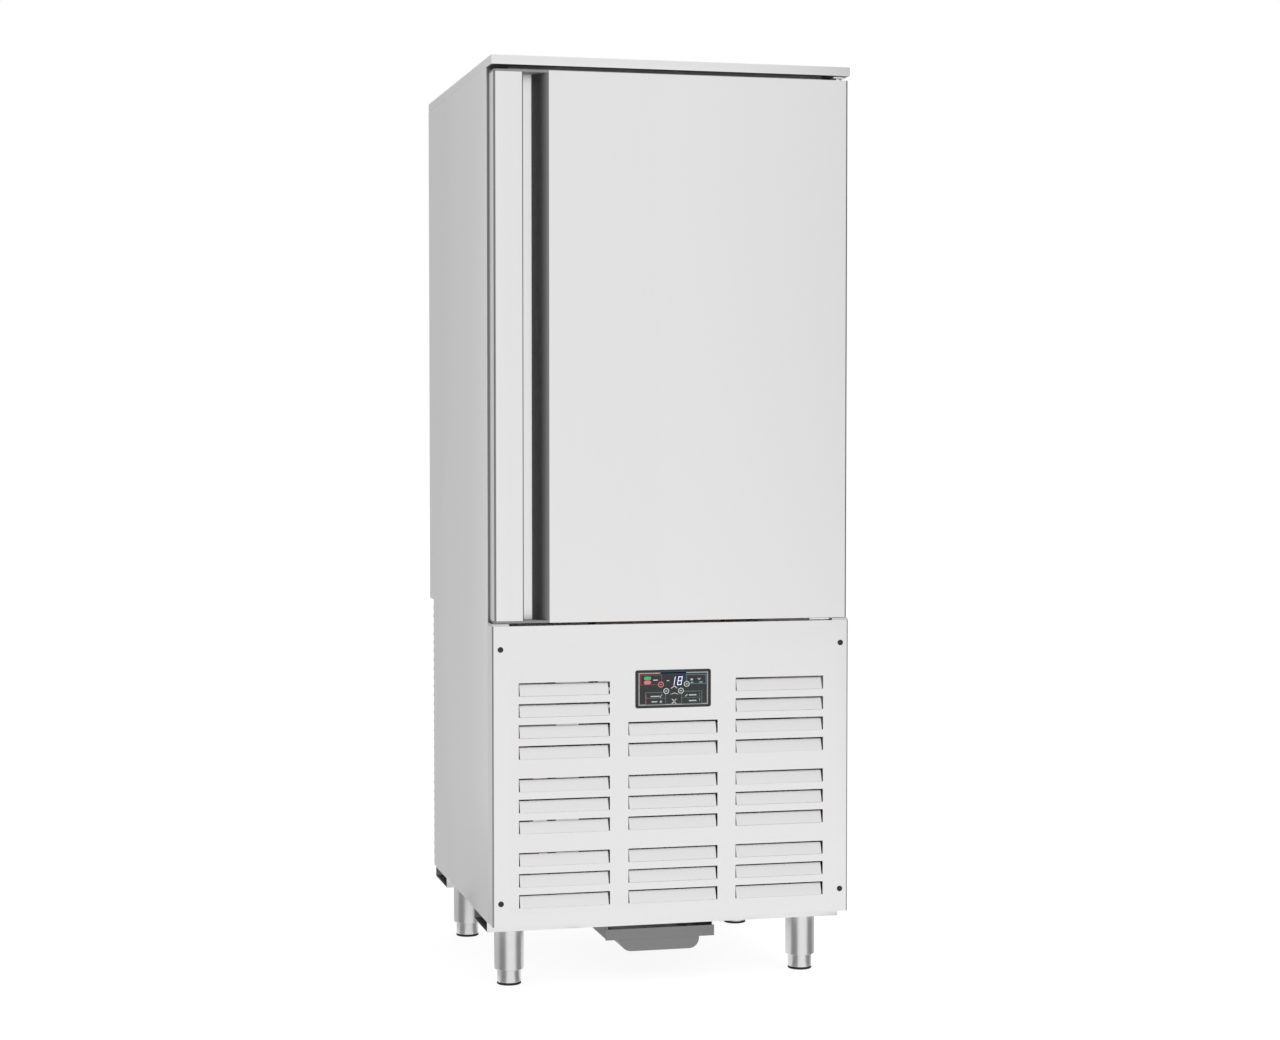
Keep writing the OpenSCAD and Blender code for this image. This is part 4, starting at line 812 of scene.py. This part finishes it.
class CHILLER_OT_drip_tray(bpy.types.Operator):
    """Drip tray with a rounded pan, side flanges and a front apron"""
    bl_idname = "chiller.drip_tray"
    bl_label = "Drip tray"

    def execute(self, context):
        low, high = TRAY
        t, half, r, flange = 1.5 * MM, 90 * MM, 23 * MM, 118 * MM
        apron_h, rim_rise = 24 * MM, 2.3 * MM
        apron_z = high.z - apron_h
        rim = apron_z + rim_rise
        round_right = arc(half - r, low.z + r, r, 0, -90, 8)
        round_left = arc(-half + r, low.z + r, r, -90, -180, 8)
        section = [(flange, rim), (half, rim)] + round_right + round_left + [(-half, rim), (-flange, rim)]
        shell = fold("pan", [(x, low.y + t, z) for x, z in section], (0, high.y - low.y - 2 * t, 0), t)
        ends = []
        for y, top in ((low.y, apron_z), (high.y - t, rim)):
            outline = [(half, top)] + round_right + round_left + [(-half, top)]
            ends.append(plate("end", [(x, y, z) for x, z in outline], (0, t, 0)))
        apron = block("apron", (low.x, low.y, apron_z), (high.x, low.y + t, high.z))
        soften(apron, 0.15 * MM, 1)
        tray = smooth(join("tray", shell, *ends, apron))
        dress(tray, "drip_tray_pan", "drip_tray", "tray_steel", "tray_steel", "drip_tray")
        return {"FINISHED"}


# ---- door ----

def recess_path():
    """Outer face of the handle profile, from the door's back round the strip into the recess"""
    x0, y0 = -DOOR[1].x, DOOR[0].y
    back, bottom = DOOR[1].y, y0 + RECESS_D
    strip, r, e = x0 + STRIP_W, FOLD_R, STRIP_EDGE
    # The strip's return, the depth where it has stepped back, and how far the recess reaches behind the strip
    turned_in, stepped, behind = 12 * MM, 14 * MM, 10 * MM
    # The wall is a curve from the recess's bottom to the door's front, pulled out by a middle point
    start, end = Vector((strip + MOUTH_W, bottom)), Vector((DOOR[0].x, y0))
    pull = end + Vector((-17, 4.25)) * MM
    wall = [tuple((1 - t) ** 2 * start + 2 * t * (1 - t) * pull + t * t * end)
            for t in (i / WALL_STEPS for i in range(WALL_STEPS + 1))]
    return [(x0 + LIP_W, back), (x0, back)] + arc(x0 + r, y0 + r, r, 180, 270, 6) \
        + arc(strip - e, y0 + e, e, 270, 360, 6) \
        + [(strip, y0 + turned_in), (strip - behind, y0 + stepped), (strip - behind, bottom)] + wall


class CHILLER_OT_door(bpy.types.Operator):
    """Door sheet, handle profile with its finger recess, and the profile's end caps"""
    bl_idname = "chiller.door"
    bl_label = "Door"

    def execute(self, context):
        low, high = DOOR
        r = FOLD_R
        # Height of the door's back lips and of the profile's end caps
        cap = 5 * MM
        path = [(low.x, low.y)] + arc(high.x - r, low.y + r, r, 270, 360, 8) \
            + [(high.x, high.y), (high.x - LIP_W, high.y)]
        parts = [fold("door", [(x, y, low.z) for x, y in path], (0, 0, high.z - low.z), SHEET)]
        for z in (low.z, high.z - SHEET):
            parts.append(block("end", (low.x, low.y + SHEET, z), (high.x - SHEET, high.y - SHEET, z + SHEET)))
        for z in (low.z, high.z - cap):
            parts.append(block("lip", (low.x, high.y - SHEET, z), (high.x - LIP_W, high.y, z + cap)))
        door = smooth(join("door", *parts))
        dress(door, "door_sheet", "door", "outer_steel", "outer_steel", "door_outer_skin")
        # Painted shade: a darker line on the rounded front corner, in place of its dark reflection
        second_finish(door, "painted_soft_shade_steel", lambda f: f.center.y < low.y + r and f.center.x > high.x - r)

        low, high = HANDLE
        grip = fold("handle", [(x, y, low.z) for x, y in recess_path()], (0, 0, high.z - low.z), SHEET)
        dress(smooth(grip), "handle_sheet", "door", "outer_steel", "outer_steel", "handle_profile")
        # Painted shade: the recess wall gets the dark finish, and the outer fold and the strip's edge a darker
        # line, in place of their shade and dark reflection
        wall_x, wall_y = -DOOR[1].x + STRIP_W + MOUTH_W + 0.5 * MM, DOOR[1].y - 8 * MM
        second_finish(grip, "painted_deep_shade_steel", lambda f: f.center.x > wall_x and f.center.y < wall_y)
        second_finish(grip, "painted_soft_shade_steel", lambda f: f.center.y < low.y + r and f.center.x < low.x + r)
        strip, e = low.x + STRIP_W, STRIP_EDGE
        second_finish(grip, "painted_soft_shade_steel", lambda f: strip - e < f.center.x < strip and f.center.y < low.y + e)

        low, high = CAPS
        c = 4 * MM
        outline = [(low.x, low.y + c), (low.x + c, low.y), (high.x, low.y), (high.x, high.y), (low.x, high.y)]
        caps = [soften(plate("cap", [(x, y, z) for x, y in outline], (0, 0, cap)), 0.5 * MM)
                for z in (low.z, high.z - cap)]
        dress(join("caps", *caps), "handle_caps", "door", "grey_plastic", "grey_plastic", "handle_end_caps")
        return {"FINISHED"}


# ---- control panel ----

def bar(x0, x1, z0, z1):
    return [(x0, z0), (x1, z0), (x1, z1), (x0, z1)]


def outline_bars(x0, x1, z0, z1, w):
    return [bar(x0, x1, z0, z0 + w), bar(x0, x1, z1 - w, z1), bar(x0, x0 + w, z0 + w, z1 - w),
            bar(x1 - w, x1, z0 + w, z1 - w)]


def pill(x0, x1, z0, z1):
    r = (z1 - z0) / 2
    return arc(x1 - r, z0 + r, r, -90, 90, 8) + arc(x0 + r, z0 + r, r, 90, 270, 8)


def digit(segments, x, z, w, h, t=1.5, slant=0.17):
    """Seven-segment strokes, leaning to the right"""
    places = {
        "a": bar(x, x + w, z + h - t, z + h), "g": bar(x, x + w, z + (h - t) / 2, z + (h + t) / 2),
        "d": bar(x, x + w, z, z + t), "f": bar(x, x + t, z + h / 2, z + h), "e": bar(x, x + t, z, z + h / 2),
        "b": bar(x + w - t, x + w, z + h / 2, z + h), "c": bar(x + w - t, x + w, z, z + h / 2),
    }
    return [[(px + (pz - z) * slant, pz) for px, pz in places[s]] for s in segments]


# Marks as outlines in millimetres from the overlay's middle, by ink
MARKS = {
    "ink_border": outline_bars(-78, 78, -35.5, 35.5, 2.2),
    "ink_navy": [bar(-29, 29, 31.5, 38.5)],
    "ink_red": outline_bars(-74, -26, 9, 31, 1.1)
    + [bar(-62, -60, -20, -13), bar(-62, -60, -31, -24), bar(58, 60, -18, -11)],
    "ink_pink": [pill(-66, -50, 10.5, 18.5)],
    "ink_green": [pill(-66, -50, 19.5, 27.5), bar(58, 60, -29, -22)],
    "ink_blue": outline_bars(29, 74, 9, 30, 1.2),
    "ink_teal": outline_bars(-63, -17, -34, -7, 1.2) + outline_bars(18, 65, -34, -6, 1.2)
    + [bar(-62, -18, -21, -20.2), bar(19, 64, -20.5, -19.7)],
    "ink_white": [bar(-45, -35, 18, 20.5), bar(39, 44, 17, 21), bar(39, 45, 12, 13.5), bar(58, 66, 12, 13.5),
                  bar(-51, -31, -17.4, -15), bar(-49, -36, -29, -26.6), bar(35, 52, -16, -13.6),
                  bar(35, 52, -28.4, -26), bar(-15, -9, 16.5, 18.5)]
    # A chevron, a flat arch and two crossed bars in the middle
    + [[(-5, -0.6), (2, 4.4), (9, -0.6), (9, 1.8), (2, 7), (-5, 1.8)],
       [(-9, -13), (-2, -10.4), (2.5, -8.6), (7, -10.4), (14, -13), (7, -12), (2.5, -10.4), (-2, -12)],
       [(-4.4, -33), (-1.6, -33), (7.8, -22.6), (5, -22.6)],
       [(5, -33), (7.8, -33), (-1.6, -22.6), (-4.4, -22.6)],
       # Two slanted bars, a diamond and a small chevron at the sides
       [(-31, -19), (-29, -19), (-24.5, -12), (-26, -12)],
       [(26, -17), (31, -12.5), (32, -14.5), (28, -18)],
       [(-31, -28), (-28, -25), (-25, -28), (-28, -31)],
       [(54, 21), (58, 17.5), (62, 21), (60.6, 22), (58, 19.6), (55.4, 22)]],
    "display_glow": digit("bc", -3.4, 7.5, 5.5, 18.5) + digit("abcdefg", 8.4, 7.5, 9.5, 18.5),
}


class CHILLER_OT_overlay(bpy.types.Operator):
    """Glossy overlay with its printed marks and digits"""
    bl_idname = "chiller.overlay"
    bl_label = "Control overlay"

    def execute(self, context):
        low, high = OVERLAY
        r, front = 5 * MM, low.y
        corners = arc(high.x - r, low.z + r, r, -90, 0, 6) + arc(high.x - r, high.z - r, r, 0, 90, 6) \
            + arc(low.x + r, high.z - r, r, 90, 180, 6) + arc(low.x + r, low.z + r, r, 180, 270, 6)
        film = plate("overlay", [(x, high.y, z) for x, z in corners], (0, low.y - high.y, 0))
        soften(film, 0.3 * MM)
        dress(film, "overlay_film", "cabinet", "black_gloss", "black_gloss", "control_overlay")
        t = context.scene.chiller_sizes.print_t
        for ink, outlines in MARKS.items():
            marks = []
            for outline in outlines:
                places = [(PANEL_X + x * MM, front, PANEL_Z + z * MM) for x, z in outline]
                marks.append(plate("mark", places, (0, -t, 0)))
            dress(join(ink, *marks), "overlay_" + ink, "cabinet", "black_gloss", ink)
        return {"FINISHED"}


# The ink of each key's ring and mark
KEY_INKS = {"start": "ink_pink", "light": "ink_white", "up": "ink_white", "down": "ink_white"}


class CHILLER_OT_keys(bpy.types.Operator):
    """Four round keys, each with a printed ring and a small mark"""
    bl_idname = "chiller.keys"
    bl_label = "Keys"

    def execute(self, context):
        r, ring_in, ring_out = 7 * MM, 4.5 * MM, 6.5 * MM
        # How far the print stands in front of the key, and how far it sinks into it
        front, sunk = -0.15 * MM, 0.02 * MM
        for name, ink in KEY_INKS.items():
            low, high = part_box("key_" + name)
            centre = Vector(((low.x + high.x) / 2, low.y, (low.z + high.z) / 2))
            h = high.y - low.y
            profile = [(0, 0), (r - 0.4 * MM, 0), (r, 0.3 * MM), (r, h), (0, h)]
            cap = turn("key", profile, centre, "Y", 40)
            dress(cap, "key_cap_" + name, "key_" + name, "black_gloss", "black_gloss", "key_" + name)
            band = [(ring_in, sunk), (ring_in, front), (ring_out, front), (ring_out, sunk), (ring_in, sunk)]
            ring = turn("ring", band, centre, "Y", 40)
            corners = bar(-2.2, 2.2, -1.1, 1.1)
            places = [(centre.x + x * MM, centre.y, centre.z + z * MM) for x, z in corners]
            mark = plate("mark", places, (0, front, 0))
            dress(join("ring", ring, mark), "key_ring_" + name, "key_" + name, "black_gloss", ink)
        return {"FINISHED"}


class CHILLER_PT_panel(bpy.types.Panel):
    """Lists the pieces and the values that a user may change"""
    bl_idname = "CHILLER_PT_panel"
    bl_label = "Blast chiller"
    bl_space_type = "VIEW_3D"
    bl_region_type = "UI"
    bl_category = "Chiller"

    def draw(self, context):
        for group in (context.scene.chiller_sizes, context.scene.chiller_colours):
            for key in group.__annotations__:
                self.layout.prop(group, key)
        for operator in OPERATORS:
            self.layout.operator(operator.bl_idname)


# In the order in which they run: the camera comes first
OPERATORS = (
    CHILLER_OT_stage, CHILLER_OT_finishes, CHILLER_OT_top_slab, CHILLER_OT_side_sheets,
    CHILLER_OT_front_cover, CHILLER_OT_cover_screws, CHILLER_OT_hinges, CHILLER_OT_base_channels,
    CHILLER_OT_legs, CHILLER_OT_drip_tray, CHILLER_OT_door, CHILLER_OT_overlay, CHILLER_OT_keys,
)
CLASSES = (ChillerSizes, ChillerColours, *OPERATORS, CHILLER_PT_panel)


def register():
    for cls in CLASSES:
        bpy.utils.register_class(cls)
    bpy.types.Scene.chiller_sizes = bpy.props.PointerProperty(type=ChillerSizes)
    bpy.types.Scene.chiller_colours = bpy.props.PointerProperty(type=ChillerColours)


def unregister():
    del bpy.types.Scene.chiller_colours
    del bpy.types.Scene.chiller_sizes
    for cls in reversed(CLASSES):
        bpy.utils.unregister_class(cls)


def main():
    register()
    for operator in OPERATORS:
        getattr(bpy.ops.chiller, operator.bl_idname.split(".")[1])()


if __name__ == "__main__":
    main()
